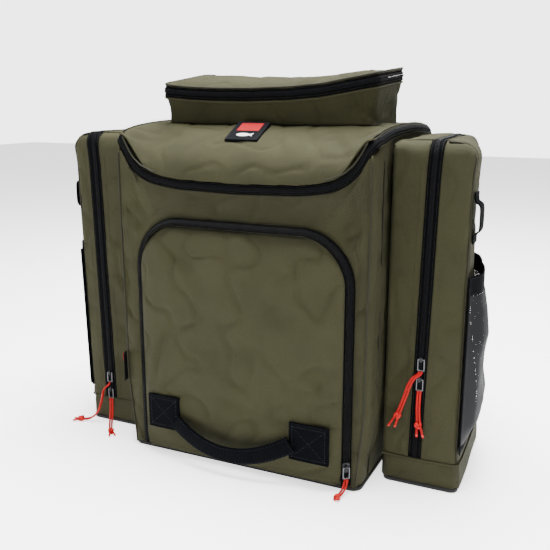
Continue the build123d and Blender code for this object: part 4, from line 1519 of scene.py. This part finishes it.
for cx in (-92, 92):
    pts = [(cx, y, z) for y, z in ((193.5, 176), (192, 150), (186, 125), (178, 100), (166, 74), (151.6, 50))]
    strip(webs, run(pts, 4, (0, 1, 0.3)), slab_section(-12.4, 12.4, -1.0, 0.9, 6, 0.1))
    tail = [(cx, y, z) for y, z in ((191, 150), (195, 140), (197, 118), (196.5, 92), (195.5, 70))]
    strip(webs, run(tail, 4, (0, 1, 0)), slab_section(-12.4, 12.4, -0.9, 0.9, 6, 0.1))
    pts = [(cx, 151.6, z) for z in (470, 474, 480, 484)]
    strip(webs, run(pts, 4, (0, 1, 0)), slab_section(-30, 30, -1.0, 1.2, 6, 0.2))
web_obj = webs.make("lower_webbing", WEBBING, "pack", "webbing_black")
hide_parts("strap_webbing")
soften("ladder_locks", PLASTIC, 0.8)

grab = Patchwork()
pts = [(-30, 151.6, 453), (-30, 152, 462), (-30, 153.4, 470), (-27, 158, 462), (-20, 164, 449),
       (-8, 168.2, 441), (0, 168.6, 440)]
pts += [(-x, y, z) for x, y, z in reversed(pts[:-1])]


def grab_out(p):
    return (0.0, 0.5, 1.0) if abs(p.x) < 26 else (math.copysign(0.3, p.x), 1, 0.2)


strip(grab, run(pts, 2.5, grab_out), slab_section(-10.5, 10.5, -1.1, 1.1, 6, 0.4))
grab_obj = grab.make("haul_handle_webbing", WEBBING, "haul_handle", "webbing_black")
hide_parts("haul_handle")


# ---------------------------------------------------------------- floor, light and camera
def stage_material():
    mat, _, shader = new_material("studio floor", (0.92, 0.92, 0.92), 0.9, 0.0)
    shader.inputs["Emission Color"].default_value = (1, 1, 1, 1)
    shader.inputs["Emission Strength"].default_value = 1.5
    return mat


floor = bpy.data.meshes.new("studio_floor")
floor.from_pydata([(-6, -6, 0), (6, -6, 0), (6, 6, 0), (-6, 6, 0)], [], [(0, 1, 2, 3)])
floor.materials.append(stage_material())
floor_obj = bpy.data.objects.new("studio_floor", floor)
bpy.context.scene.collection.objects.link(floor_obj)

world = bpy.data.worlds.new("studio")
world.use_nodes = True
sky = world.node_tree.nodes["Background"]
sky.inputs["Color"].default_value = (1, 1, 1, 1)
seen = world.node_tree.nodes.new("ShaderNodeLightPath")
level = world.node_tree.nodes.new("ShaderNodeMapRange")
level.inputs["To Min"].default_value = 0.4
level.inputs["To Max"].default_value = 4.0
world.node_tree.links.new(seen.outputs["Is Camera Ray"], level.inputs["Value"])
world.node_tree.links.new(level.outputs["Result"], sky.inputs["Strength"])
bpy.context.scene.world = world


def soft_light(name, at, size, power, target=(0, 0, 0.25)):
    data = bpy.data.lights.new(name, "AREA")
    data.shape = "RECTANGLE"
    data.size = size
    data.size_y = size
    data.energy = power
    obj = bpy.data.objects.new(name, data)
    obj.location = at
    obj.rotation_euler = (Vector(target) - Vector(at)).to_track_quat("-Z", "Y").to_euler()
    bpy.context.scene.collection.objects.link(obj)
    return obj


soft_light("key", (0.5, -1.3, 2.1), 1.0, 13)
soft_light("fill", (-1.6, -0.9, 1.2), 1.4, 5)
soft_light("top", (0.1, 0.1, 2.2), 1.4, 270)
soft_light("rear", (0.4, 1.7, 1.5), 1.4, 10)

lens = bpy.data.cameras.new("camera")
lens.lens = 49.09
lens.sensor_width = 36
camera = bpy.data.objects.new("camera", lens)
camera.location = (0.47145, -1.03725, 0.525)
camera.rotation_euler = (math.radians(76.65), 0, math.radians(25))
bpy.context.scene.collection.objects.link(camera)
bpy.context.scene.camera = camera
